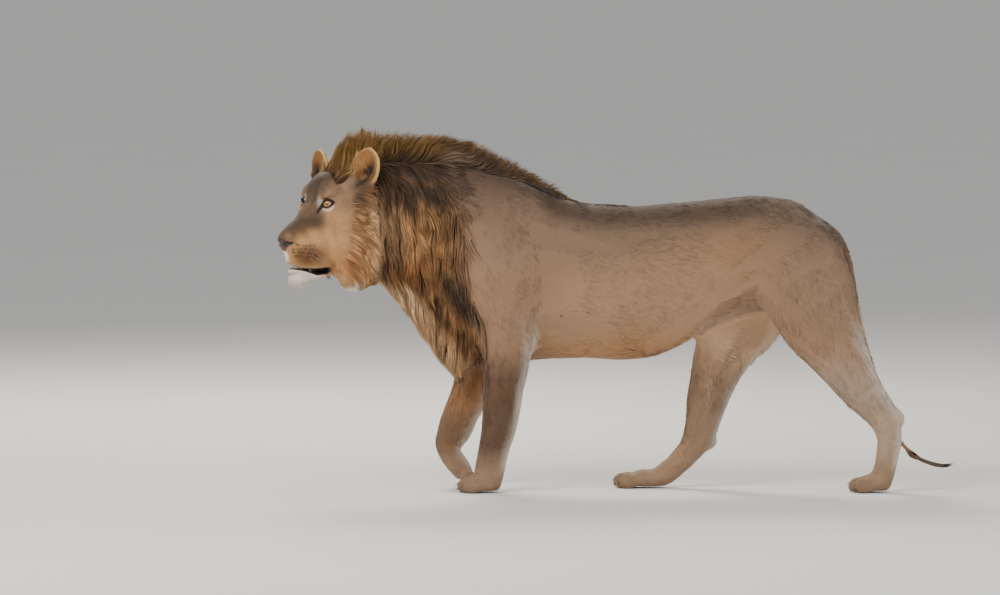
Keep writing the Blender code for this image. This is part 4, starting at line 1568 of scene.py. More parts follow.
# ---------------------------------------------------------------- the skin
@dataclass
class Skin:
    """The one skin that stands for every node of flesh."""

    shape: LionShape
    markings: Markings
    keep: float = 0.165             # share of the raw surface kept when it is thinned
    finest: float = 0.0021          # longest edge left round the eyes, nose and mouth
    floor: float = 0.0004           # height of the lowest skin
    rounds: int = 4                 # steps by which points settle onto the exact surface
    stride: float = 0.003           # the longest of those steps
    ease: float = 0.8               # share of each step that is taken
    mesh: Mesh = field(init=False)

    def build(self, finish: Material) -> Object:
        """Makes the skin and places it.

        Args:
            finish: Its material.
        Returns:
            The object, riding the body and replacing the flesh.
        """
        mesh = self.thinned(*self.shape.surface())
        points, faces = self.refined(mesh)
        points = self.settled(points)
        self.mesh = plain_mesh("skin", points, faces)
        normals = vertex_normals(self.mesh)
        spots = Spots(points)
        points = points + normals * Relief.at(spots)[:, None]
        points[:, 2] = np.maximum(points[:, 2], self.floor)
        self.mesh.vertices.foreach_set("co", points.astype(np.float32).ravel())
        self.mesh.update()
        spots = Spots(points)
        paint(self.mesh, self.markings.colour(spots, vertex_normals(self.mesh)), self.markings.bare(spots))
        made = placed("skin", self.mesh, finish)
        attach(made, BODY)
        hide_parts(*FLESH)
        return made

    def thinned(self, points: Array, quads: Array) -> Mesh:
        """The surface with fewer faces where nothing fine is shown.

        Args:
            points: Points, one a row.
            quads: Its faces.
        Returns:
            The thinned mesh, of triangles.
        """
        source = placed("raw_skin", plain_mesh("raw_skin", points, quads))
        spots = Spots(points.astype(np.float64))
        near = rise(0.34, 0.26, spots.side[:, 0]) * by_head(spots.head, 0.34)
        fine = np.maximum(near, 0.8 * (points[:, 2] < 0.07))
        group = source.vertex_groups.new(name="thin")
        for level in range(5):
            share = 1.0 - 0.2 * level
            chosen = np.flatnonzero(np.round(fine * 4) == level)
            group.add([int(v) for v in chosen], share, "REPLACE")
        thin = source.modifiers.new("thin", "DECIMATE")
        thin.ratio = self.keep
        thin.vertex_group = "thin"
        thin.use_collapse_triangulate = True
        return applied(source)

    def refined(self, mesh: Mesh) -> tuple[Array, Array]:
        """Splits the faces round the eyes, nose and mouth, and keeps only the main surface.

        Args:
            mesh: The mesh.
        Returns:
            Its points and its triangles.
        """
        work = bmesh.new()
        work.from_mesh(mesh)
        for _ in range(2):
            work.verts.ensure_lookup_table()
            points = np.array([v.co for v in work.verts])
            near = self.fine_zone(Spots(points))
            edges = [
                e for e in work.edges
                if near[e.verts[0].index] and near[e.verts[1].index] and e.calc_length() > self.finest
            ]
            bmesh.ops.subdivide_edges(work, edges=edges, cuts=1)
            bmesh.ops.triangulate(work, faces=work.faces)
            work.verts.index_update()
        for island in small_islands(work):
            bmesh.ops.delete(work, geom=island, context="VERTS")
        work.verts.index_update()
        points = np.array([v.co for v in work.verts])
        faces = np.array([[v.index for v in f.verts] for f in work.faces])
        work.free()
        return points, faces

    def fine_zone(self, s: Spots) -> Array:
        """Where the smallest forms are.

        Args:
            s: The points.
        Returns:
            Whether each point is there.
        """
        eye = self.shape.sculpt.eye_gap(s) < 0.040
        nose = (s.side[:, 0] < 0.045) & (s.side[:, 2] < 0.045) & (s.side[:, 2] > -0.12)
        mouth = (s.side[:, 0] < 0.18) & (np.abs(s.side[:, 2] + 0.088) < 0.022)
        return eye | nose | mouth

    def settled(self, points: Array) -> Array:
        """Moves the points of head and paws onto the exact surface.

        Args:
            points: Points, one a row.
        Returns:
            The same points, moved.
        """
        chosen = np.flatnonzero(fine_part(points))
        place = points[chosen]
        for _ in range(self.rounds):
            distance = self.shape.distance(place)
            slope = self.shape.slope(place)
            steep = np.maximum((slope ** 2).sum(axis=1), 0.25)
            move = -slope * (distance / steep)[:, None]
            far = np.linalg.norm(move, axis=1)
            place = place + move * np.minimum(1.0, self.stride / np.maximum(far, 1e-9))[:, None] * self.ease
        points[chosen] = place
        return points


def small_islands(work: bmesh.types.BMesh) -> list[list]:
    """Every connected part of a mesh but the largest.

    Args:
        work: The mesh.
    Returns:
        The vertices of each part.
    """
    seen, parts = set(), []
    for start in work.verts:
        if start in seen:
            continue
        seen.add(start)
        part, edge = [start], [start]
        while edge:
            vertex = edge.pop()
            for link in vertex.link_edges:
                other = link.other_vert(vertex)
                if other not in seen:
                    seen.add(other)
                    part.append(other)
                    edge.append(other)
        parts.append(part)
    return sorted(parts, key=len)[:-1]


@dataclass(frozen=True)
class Leather:
    """The dark, moist, pebbled skin of the nose."""

    pebble: float = 620.0
    roughness: float = 0.34

    def material(self) -> Material:
        """Builds the material.

        Returns:
            The material.
        """
        n = Nodes("nose_leather")
        cells = n.add("TexVoronoi", {"Vector": n.add("TexCoord").outputs["Object"], "Scale": self.pebble})
        n.set(Base_Color=n.coat_colour(cells.outputs["Distance"], 1.15, 0.7), Roughness=self.roughness,
              Specular_IOR_Level=0.5, Normal=n.relief(cells.outputs["Distance"], 0.5, 0.0008))
        return n.material


@dataclass
class NosePad:
    """The nose's bare leather, a closed pad a little proud of the skin."""

    markings: Markings
    proud: float = 0.0005
    sunk: float = 0.0030
    least: float = 0.4              # share of leather from which a corner belongs to the pad

    def build(self, skin: Mesh, finish: Material) -> Object:
        """Makes the pad from the skin's own faces.

        Args:
            skin: The finished skin.
            finish: The pad's material.
        Returns:
            The object, riding the body and replacing the nose.
        """
        points, normals = vertex_places(skin), vertex_normals(skin)
        faces = read_rows(skin.loops, "vertex_index", 1, np.int32).reshape(-1, 3)
        faces = faces[(self.markings.leather(Spots(points)) > self.least)[faces].all(axis=1)]
        used, faces = np.unique(faces, return_inverse=True)
        faces = faces.reshape(-1, 3)
        top = points[used] + normals[used] * self.proud
        under = points[used] - normals[used] * self.sunk
        edges = np.vstack([faces[:, [0, 1]], faces[:, [1, 2]], faces[:, [2, 0]]])
        known = {(int(a), int(b)) for a, b in edges}
        rim = np.array([(a, b) for a, b in known if (b, a) not in known])
        count = len(used)
        a, b = rim.T
        walls = [np.column_stack([b, a, a + count]), np.column_stack([b, a + count, b + count])]
        faces = np.vstack([faces, faces[:, ::-1] + count, *walls])
        mesh = plain_mesh("nose_pad", np.vstack([top, under]), faces)
        colour = self.markings.colour(Spots(points[used]), normals[used])
        paint(mesh, np.vstack([colour, colour]), 1.0)
        made = placed("nose_pad", mesh, finish)
        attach(made, BODY)
        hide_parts(NOSE)
        log.info("nose pad: %d triangles", len(mesh.polygons))
        return made


# ---------------------------------------------------------------- whiskers and claws
class Socket(Enum):
    """The named inputs of the tree that repeats a spike, and their types."""

    LENGTH = ("Length", "NodeSocketFloat")
    THICKNESS = ("Thickness", "NodeSocketFloat")
    DROOP = ("Droop", "NodeSocketFloat")
    SEED = ("Seed", "NodeSocketInt")
    FINISH = ("Finish", "NodeSocketMaterial")


@dataclass(frozen=True)
class Spikes:
    """Tapered, curved points repeated by Geometry Nodes, such as whiskers and claws."""

    name: str
    length: float
    thickness: float
    droop: float                    # how far the tip bends down, for a length of one
    sides: int = 5
    segments: int = 6
    seed: int = 5

    def tree(self) -> NodeTree:
        """Builds the tree: one bent cone on every point, turned along the point's way.

        Returns:
            The tree.
        """
        tree = bpy.data.node_groups.new(self.name, "GeometryNodeTree")
        tree.interface.new_socket("Places", in_out="INPUT", socket_type="NodeSocketGeometry")
        for socket in Socket:
            tree.interface.new_socket(socket.value[0], in_out="INPUT", socket_type=socket.value[1])
        tree.interface.new_socket("Spikes", in_out="OUTPUT", socket_type="NodeSocketGeometry")

        add = partial(add_node, tree)
        maths, named = partial(add, "ShaderNodeMath"), partial(add, "GeometryNodeInputNamedAttribute")
        given = add("NodeGroupInput").outputs
        cone = add("GeometryNodeMeshCone", {
            "Vertices": self.sides, "Side Segments": self.segments, "Radius Top": 0.0,
            "Radius Bottom": given["Thickness"], "Depth": given["Length"]})
        height = add("ShaderNodeSeparateXYZ", {0: add("GeometryNodeInputPosition").outputs[0]}).outputs["Z"]
        bend = maths({0: height, 1: height}, operation="MULTIPLY").outputs[0]
        bend = maths({0: bend, 1: given["Droop"]}, operation="MULTIPLY").outputs[0]
        bend = maths({0: bend, 1: given["Length"]}, operation="DIVIDE").outputs[0]
        offset = add("ShaderNodeCombineXYZ", {"X": bend}).outputs[0]
        bent = add("GeometryNodeSetPosition", {"Geometry": cone.outputs["Mesh"], "Offset": offset})
        way = named({"Name": "way"}, data_type="FLOAT_VECTOR").outputs["Attribute"]
        size = named({"Name": "size"}, data_type="FLOAT").outputs["Attribute"]
        turn = add("FunctionNodeAlignRotationToVector", {"Vector": way}, axis="Z")
        level = {"Rotation": turn.outputs[0], "Vector": (0.0, 0.0, -1.0)}
        turn = add("FunctionNodeAlignRotationToVector", level, axis="X", pivot_axis="Z")
        chance = add("FunctionNodeRandomValue", {2: 0.82, 3: 1.15, "Seed": given["Seed"]}, data_type="FLOAT")
        scale = maths({0: size, 1: chance.outputs[1]}, operation="MULTIPLY").outputs[0]
        put = add("GeometryNodeInstanceOnPoints", {
            "Points": given["Places"], "Instance": bent.outputs[0],
            "Rotation": turn.outputs[0], "Scale": scale})
        real = add("GeometryNodeRealizeInstances", {"Geometry": put.outputs[0]})
        dressed = add("GeometryNodeSetMaterial", {"Geometry": real.outputs[0], "Material": given["Finish"]})
        add("NodeGroupOutput", {"Spikes": dressed.outputs[0]})
        return tree

    def build(self, places: Array, ways: Array, sizes: Array, finish: Material) -> Object:
        """Sets the spikes out and turns them into plain mesh.

        Args:
            places: Their roots.
            ways: Where each points.
            sizes: Scale of each.
            finish: Their material.
        Returns:
            The object, riding the body.
        """
        points = plain_mesh(self.name + "_roots", places, np.zeros((0, 3), np.int32))
        way = points.attributes.new("way", "FLOAT_VECTOR", "POINT")
        way.data.foreach_set("vector", ways.astype(np.float32).ravel())
        size = points.attributes.new("size", "FLOAT", "POINT")
        size.data.foreach_set("value", sizes.astype(np.float32))
        source = placed(self.name + "_roots", points)
        repeat = source.modifiers.new(self.name, "NODES")
        repeat.node_group = self.tree()
        items = repeat.node_group.interface.items_tree
        names = {item.name: item.identifier for item in items if item.in_out == "INPUT"}
        for socket, value in zip(Socket, (self.length, self.thickness, self.droop, self.seed, finish)):
            repeat[names[socket.value[0]]] = value
        mesh = applied(source)
        mesh.name = self.name
        made = placed(self.name, mesh)
        mesh.shade_smooth()
        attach(made, BODY)
        log.info("%s: %d", self.name, len(places))
        return made


@dataclass(frozen=True)
class Horn:
    """Claws and whiskers."""

    name: str
    dark: Colour
    light: Colour
    roughness: float = 0.35

    def material(self) -> Material:
        """Builds the material.

        Returns:
            The material.
        """
        n = Nodes(self.name)
        grain = n.noise(160.0, 3.0)
        tone = n.add("MixRGB", {"Fac": grain, "Color1": (*self.dark, 1.0), "Color2": (*self.light, 1.0)})
        n.set(Base_Color=tone.outputs["Color"], Roughness=self.roughness, Specular_IOR_Level=0.45)
        return n.material


@dataclass(frozen=True)
class Whiskers:
    """Long pale bristles from the spots of the upper lip."""

    lash: Spikes = Spikes("whiskers", 0.080, 0.00032, 0.30)

    def build(self, skin: Mesh) -> None:
        """Grows them on both sides of the muzzle.

        Args:
            skin: The finished skin.
        """
        points = vertex_places(skin)
        s = Spots(points)
        roots, ways, sizes = [], [], []
        for sign in (-1.0, 1.0):
            for number, (x, z) in enumerate(whisker_places()):
                gap = np.hypot(s.side[:, 0] - x, s.side[:, 2] - z) + (s.head[:, 1] * sign < 0.02)
                roots.append(points[np.argmin(gap)])
                lean = number % 6 / 5
                fall = -0.42 + 0.1 * math.sin(2.3 * number)
                ways.append((0.25 + 0.55 * lean, sign * (0.85 - 0.25 * lean), fall))
                sizes.append(0.45 + 0.60 * lean)
        ways = HEAD.heading(unit(np.array(ways)))
        pale = Horn("whisker", (0.34, 0.26, 0.19), (0.50, 0.41, 0.32), 0.45)
        made = self.lash.build(np.array(roots), ways, np.array(sizes), pale.material())


@dataclass(frozen=True)
class Claws:
    """The points of the claws, drawn in between the toes' hair."""

    claw: Spikes = Spikes("claws", 0.024, 0.0042, 0.55, 8, 5)

    def build(self) -> None:
        """Sets one at the end of every toe."""
        roots, ways, sizes = [], [], []
        for paw in PAWS:
            ahead = -np.array([paw.back[0], 0.0, paw.back[1]])
            for centre in paw.toes():
                lift = np.cross(ahead, (0.0, -1.0, 0.0))
                lift *= math.copysign(1.0, lift[2])
                roots.append(centre + ahead * (paw.radii[0] - 0.016) + lift * 0.007 + (0.0, MIDDLE, 0.0))
                ways.append(ahead + lift * 0.25)
                sizes.append(1.0)
        horn = Horn("claw", (0.045, 0.034, 0.026), (0.16, 0.13, 0.10))
        made = self.claw.build(np.array(roots), unit(np.array(ways)), np.array(sizes), horn.material())


# ---------------------------------------------------------------- eyes
@dataclass
class Eye:
    """An eyeball with a clear bulging front over a cupped amber iris."""

    node: str
    side: int
    sculpt: Sculpt = field(default_factory=Sculpt)
    iris: float = 0.74              # where the iris ends, in radians off the gaze
    bulge: float = 0.055            # how far the clear front swells, for a radius of one
    rings: int = 40
    spokes: int = 64

    def build(self, finish: Material) -> Object:
        """Makes the eye and places it.

        Args:
            finish: Its material.
        Returns:
            The object, riding the body and replacing its node.
        """
        radius = self.sculpt.eye_radius
        angle = np.linspace(0, math.pi, self.rings + 1)[1:-1]
        swell = 1 + self.bulge * rise(self.iris + 0.12, 0.0, angle)
        turn = np.linspace(0, math.tau, self.spokes, endpoint=False)
        ahead = np.repeat(np.cos(angle) * swell, self.spokes)
        across = np.repeat(np.sin(angle) * swell, self.spokes)
        spin = np.tile(turn, len(angle))
        flat = np.column_stack([ahead, across * np.cos(spin), across * np.sin(spin)])
        flat = np.vstack([flat, [[swell[0], 0, 0], [-1, 0, 0]]]) * radius
        place = flat @ self.sculpt.gaze_frame() + np.array(self.sculpt.eye)
        place[:, 1] *= self.side
        place = HEAD.world(place)
        ring, after = np.arange(self.spokes), np.roll(np.arange(self.spokes), -1)
        rows = np.arange(len(angle) - 1)[:, None] * self.spokes
        a, b = rows + ring, rows + after
        quads = np.stack([a, b, b + self.spokes, a + self.spokes], axis=-1).reshape(-1, 4)
        base = (len(angle) - 1) * self.spokes
        faces = np.vstack([
            quads[:, [0, 1, 2]],
            quads[:, [0, 2, 3]],
            np.column_stack([after, ring, np.full(self.spokes, len(flat) - 2)]),
            np.column_stack([ring + base, after + base, np.full(self.spokes, len(flat) - 1)]),
        ])
        mesh = plain_mesh(self.node, place, outward(place, faces))
        paint(mesh, self.colours(flat / radius))
        made = placed(self.node + "_ball", mesh, finish)
        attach(made, BODY)
        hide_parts(self.node)
        return made

    def colours(self, flat: Array) -> Array:
        """Pupil, flecked amber iris, its dark edge and the brown white of the eye.

        Args:
            flat: Points of the eye at radius 1, its gaze along x.
        Returns:
            A colour for each point.
        """
        off = np.arctan2(np.hypot(flat[:, 1], flat[:, 2]), flat[:, 0])
        spin = np.arctan2(flat[:, 2], flat[:, 1])
        amber, gold, fleck = (0.40, 0.15, 0.028), (0.50, 0.22, 0.045), (0.25, 0.10, 0.02)
        pupil, dark_edge, white = (0.008, 0.006, 0.005), (0.020, 0.012, 0.008), (0.10, 0.065, 0.045)
        return layered(
            amber,
            (gold, bump(off, 0.34, 0.10) * 0.7),
            (fleck, (0.5 + 0.5 * np.sin(spin * 23 + 2 * np.sin(spin * 5))) * 0.35),
            (pupil, rise(0.235, 0.185, off)),
            (dark_edge, rise(self.iris - 0.10, self.iris, off)),
            (white, rise(self.iris + 0.10, self.iris + 0.4, off)),
        )


def outward(points: Array, triangles: Array) -> Array:
    """The triangles of a convex shell, all facing away from its middle.

    Args:
        points: Its points, one a row.
        triangles: Its triangles.
    Returns:
        The triangles, the wrong ones turned over.
    """
    centre = points.mean(axis=0)
    a, b, c = (points[triangles[:, k]] for k in range(3))
    wrong = (np.cross(b - a, c - a) * ((a + b + c) / 3 - centre)).sum(axis=1) < 0
    triangles = triangles.copy()
    triangles[wrong] = triangles[wrong][:, ::-1]
    return triangles


@dataclass(frozen=True)
class WetEye:
    """The clear, wet front of the eye."""

    roughness: float = 0.06

    def material(self) -> Material:
        """Builds the material.

        Returns:
            The material.
        """
        n = Nodes("wet_eye")
        fibre = n.noise(700.0, 3.0)
        n.set(Base_Color=n.coat_colour(fibre, 0.8, 1.2), Roughness=self.roughness,
              Specular_IOR_Level=0.6, Coat_Weight=1.0, Coat_Roughness=0.02)
        return n.material


# ---------------------------------------------------------------- the lie of the coat
class Lie:
    """Which way the hair points, as directions in the row frame."""

    @classmethod
    def heading(cls, s: Spots) -> Array:
        """The direction of the hair at each point, before it is laid along the skin.

        Args:
            s: The points.
        Returns:
            A unit direction for each.
        """
        x, _, z = s.body.T
        mane, tuft, ones = Region.mane(s), Region.tuft(s), np.ones(len(x))
        back = np.column_stack([0.9 * ones, 0.0 * x, 0.10 + 0.85 * rise(-0.18, -0.26, x)])
        way = layered(
            (1.0, 0.0, -0.28),
            ((0.45, 0.0, -0.90), rise(-0.12, -0.28, x) * rise(1.02, 0.88, z)),
            ((0.40, 0.0, -0.95), rise(0.36, 0.52, x) * rise(0.90, 0.72, z)),
            ((1.0, 0.0, -0.05), rise(0.50, 0.44, z) * rise(-0.28, -0.20, x) * rise(0.40, 0.30, x)),
            ((0.12, 0.0, -1.0), Region.leg(s)),
            ((-0.75, 0.0, -0.55), rise(0.095, 0.05, z) * (1 - tuft)),
            ((0.22, 0.0, -1.0), Region.tail(s)),
            ((1.0, 0.0, -0.12), tuft),
            (cls.neck(s), mane),
            (back, Region.ridge(s) * (1 - mane)),
            (HEAD.heading(cls.face(s)), Region.head(s, 0.34, 0.28) * (1 - mane)),
        )
        return unit(way + 1e-6)

    @classmethod
    def neck(cls, s: Spots) -> Array:
        """The mane: down the neck and chest, up and back along the crest.

        Args:
            s: The points.
        Returns:
            A direction for each point.
        """
        x, y, z = s.body.T
        lean, stiff = 0.15 + 0.75 * rise(-0.86, -0.60, x), 1.0 - 0.35 * rise(-0.80, -0.50, x)
        stand = np.column_stack([lean, 0.0 * x, stiff])
        way = layered(
            (0.12, 0.0, -1.0),
            ((0.55, 0.0, -0.80), rise(0.98, 1.06, z)),
            (stand, Region.crest(s)),
            ((0.06, 0.0, -1.0), rise(0.66, 0.52, z)),
        )
        way[:, 1] += np.sign(y) * 0.10 * rise(0.02, 0.10, np.abs(y))
        return way

    @classmethod
    def face(cls, s: Spots) -> Array:
        """The head's hair, in head coordinates.

        Args:
            s: The points.
        Returns:
            A direction for each point.
        """
        x, _, z = s.side.T
        ruff = Region.ruff(s)
        way = layered(
            (1.0, 0.18, 0.10),
            ((0.75, 0.10, 0.65), rise(0.07, 0.13, z) * rise(0.05, 0.09, x)),
            ((0.90, 0.35, -0.45), rise(0.05, -0.01, z) * rise(0.06, 0.12, x)),
            ((0.62, 0.16, -0.78), ruff * rise(0.10, 0.02, z)),
            ((0.85, 0.10, -0.50), ruff * rise(0.02, 0.10, z)),
            ((0.75, 0.05, -0.65), rise(-0.094, -0.104, z) * rise(0.17, 0.14, x)),
            ((0.1, 0.25, 1.0), Region.ear(s)),
        )
        way[:, 1] *= np.sign(s.head[:, 1])
        return way


# ---------------------------------------------------------------- hair
@dataclass
class Roots:
    """Where hairs grow: places, outward directions and their spots on the skin's unwrap."""

    place: Array
    normal: Array
    patch: Array
    spots: Spots = field(init=False)

    def __post_init__(self) -> None:
        """Works out the places' other coordinates."""
        self.spots = Spots(self.place)

    def __len__(self) -> int:
        """How many there are."""
        return len(self.place)

    def scattered(self, low: float, high: float, seed: int) -> Array:
        """A random value between two limits for each root."""
        return np.random.default_rng(seed).uniform(low, high, len(self))


@dataclass
class Scalp:
    """The skin as a ground to sow hair on."""

    corners: Array          # triangle, corner, axis
    normals: Array
    patches: Array          # triangle, corner, u and v
    area: Array = field(init=False)
    spots: Spots = field(init=False)

    def __post_init__(self) -> None:
        """Measures every triangle."""
        a, b, c = (self.corners[:, k] for k in range(3))
        self.area = np.linalg.norm(np.cross(b - a, c - a), axis=1) / 2
        self.spots = Spots(self.corners.mean(axis=1))

    @classmethod
    def of(cls, skin: Object) -> "Scalp":
        """Reads the skin, and unwraps a copy of it.

        Args:
            skin: The finished skin.
        Returns:
            The ground.
        """
        mesh = skin.data.copy()
        copy = placed("unwrap", mesh)
        bpy.context.view_layer.objects.active = copy
        for other in bpy.context.selected_objects:
            other.select_set(False)
        copy.select_set(True)
        bpy.ops.object.mode_set(mode="EDIT")
        bpy.ops.mesh.select_all(action="SELECT")
        bpy.ops.uv.smart_project(angle_limit=math.radians(66), island_margin=0.001)
        bpy.ops.object.mode_set(mode="OBJECT")
        uv = read_rows(mesh.uv_layers.active.data, "uv", 2).reshape(-1, 3, 2)
        corner = read_rows(mesh.loops, "vertex_index", 1, np.int32).reshape(-1, 3)
        place, normal = vertex_places(mesh), vertex_normals(mesh)
        bpy.data.objects.remove(copy)
        return cls(place[corner], normal[corner], uv.astype(np.float64))

    def sow(self, count: int, density: Array, seed: int) -> Roots:
        """Scatters roots over the skin.

        Args:
            count: How many.
            density: Relative number for each triangle's area.
            seed: Fixes the scatter.
        Returns:
            The roots.
        """
        rng = np.random.default_rng(seed)
        share = np.cumsum(self.area * density)
        aim = (np.arange(count) + rng.uniform(0, 1, count)) / count * share[-1]
        face = np.clip(np.searchsorted(share, aim), 0, len(share) - 1)
        u, v = rng.uniform(0, 1, (2, count))
        fold = u + v > 1
        u, v = np.where(fold, 1 - u, u), np.where(fold, 1 - v, v)
        weight = np.stack([1 - u - v, u, v], axis=1)[:, :, None]
        return Roots(
            (self.corners[face] * weight).sum(axis=1),
            unit((self.normals[face] * weight).sum(axis=1)),
            (self.patches[face] * weight).sum(axis=1),
        )


@dataclass
class Strands:
    """Solid tapered hairs: a path for each, its width along it and its flat side's direction."""

    path: Array             # strand, ring, axis
    width: Array            # strand, ring
    across: Array           # strand, ring, axis
    colour: Array           # strand, ring, channel
    patch: Array            # strand, u and v
    corners: int = 3
    flatness: float = 0.45
    shade: Array | None = None      # direction each strand is shaded as if it faced
    PATCH = 0.003                   # size of a strand's patch of the unwrap
    FLOOR = 0.0005                  # height of the lowest hair

    def joined(self, name: str, finish: Material, slot: str, limit: int = 195_000) -> int:
        """Makes the strands into pieces, each with fewer triangles than the limit.

        Args:
            name: Stem of the pieces' names.
            finish: Their material.
            slot: Not used.
            limit: The most triangles in one piece.
        Returns:
            The number of triangles.
        """
        count, rings, _ = self.path.shape
        sides = self.corners
        each = (sides - 2) + 2 * sides * (rings - 2) + sides
        pieces = max(1, math.ceil(count / (limit // each)))
        order = np.argsort(self.path[:, 0, 0], kind="stable")
        for number, part in enumerate(np.array_split(order, pieces)):
            self.piece(f"{name}_{number + 1}" if pieces > 1 else name, part, finish)
        return count * each

    def piece(self, name: str, part: Array, finish: Material) -> None:
        """One mesh of some of the strands.

        Args:
            name: The piece's name.
            part: Numbers of the strands.
            finish: Its material.
        """
        path, width, across = self.path[part], self.width[part], self.across[part]
        count, rings, _ = path.shape
        sides = self.corners
        run = unit(np.gradient(path, axis=1))
        side = unit(across - run * (across * run).sum(axis=2, keepdims=True))
        thick = np.cross(run, side)
        angle = math.tau * np.arange(sides) / sides + (math.pi / 2 if sides == 3 else 0.0)
        half = width[:, :-1, None, None] / 2
        ring = path[:, :-1, None] + half * (
            side[:, :-1, None] * np.cos(angle)[None, None, :, None]
            + thick[:, :-1, None] * np.sin(angle)[None, None, :, None] * self.flatness)
        body = ring.reshape(count, (rings - 1) * sides, 3)
        points = np.concatenate([body, path[:, -1:]], axis=1)
        points[:, :, 2] = np.maximum(points[:, :, 2], self.FLOOR)
        each = points.shape[1]
        faces = self.template(rings, sides)[None] + (np.arange(count) * each)[:, None, None]
        mesh = plain_mesh(name, points.reshape(-1, 3), faces.reshape(-1, 3))
        colour = np.repeat(self.colour[part][:, :-1], sides, axis=1)
        colour = np.concatenate([colour, self.colour[part][:, -1:]], axis=1)
        paint(mesh, np.clip(colour.reshape(-1, 3), 0.003, 0.95))
        self.unwrap(mesh, part, rings, sides, faces)
        if self.shade is not None:
            mesh.normals_split_custom_set_from_vertices(np.repeat(self.shade[part], each, axis=0))
        made = placed(name, mesh, finish)
        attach(made, BODY)

    def unwrap(self, mesh: Mesh, part: Array, rings: int, sides: int, faces: Array) -> None:
        """Gives each strand its own small patch of the skin's unwrap.

        Args:
            mesh: The mesh.
            part: Numbers of the strands.
            rings: Points along each strand.
            sides: Corners of a strand's section.
            faces: The triangles of each strand.
        """
        along_strand = np.repeat(np.arange(rings - 1) / (rings - 1), sides)
        around = np.tile(np.arange(sides) / max(sides - 1, 1), rings - 1)
        local = np.column_stack([np.append(around, 0.5), np.append(along_strand, 1.0)]) - 0.5
        uv = self.patch[part][:, None] + local[None] * self.PATCH
        layer = mesh.uv_layers.new(name="OFBake")
        layer.data.foreach_set("uv", uv.reshape(-1, 2)[faces.reshape(-1)].astype(np.float32).ravel())

    @staticmethod
    def template(rings: int, sides: int) -> Array:
        """The triangles of one strand: closed root, sides and tip.

        Args:
            rings: Points along each strand.
            sides: Corners of a strand's section.
        Returns:
            Vertex numbers, one triangle a row.
        """
        k, n = np.arange(sides), np.roll(np.arange(sides), -1)
        made = [(0, i + 1, i) for i in range(1, sides - 1)]
        for r in range(rings - 2):
            a, b = r * sides, (r + 1) * sides
            made += [(a + i, a + j, b + j) for i, j in zip(k, n)]
            made += [(a + i, b + j, b + i) for i, j in zip(k, n)]
        last = (rings - 2) * sides
        made += [(last + i, last + j, (rings - 1) * sides) for i, j in zip(k, n)]
        return np.array(made)


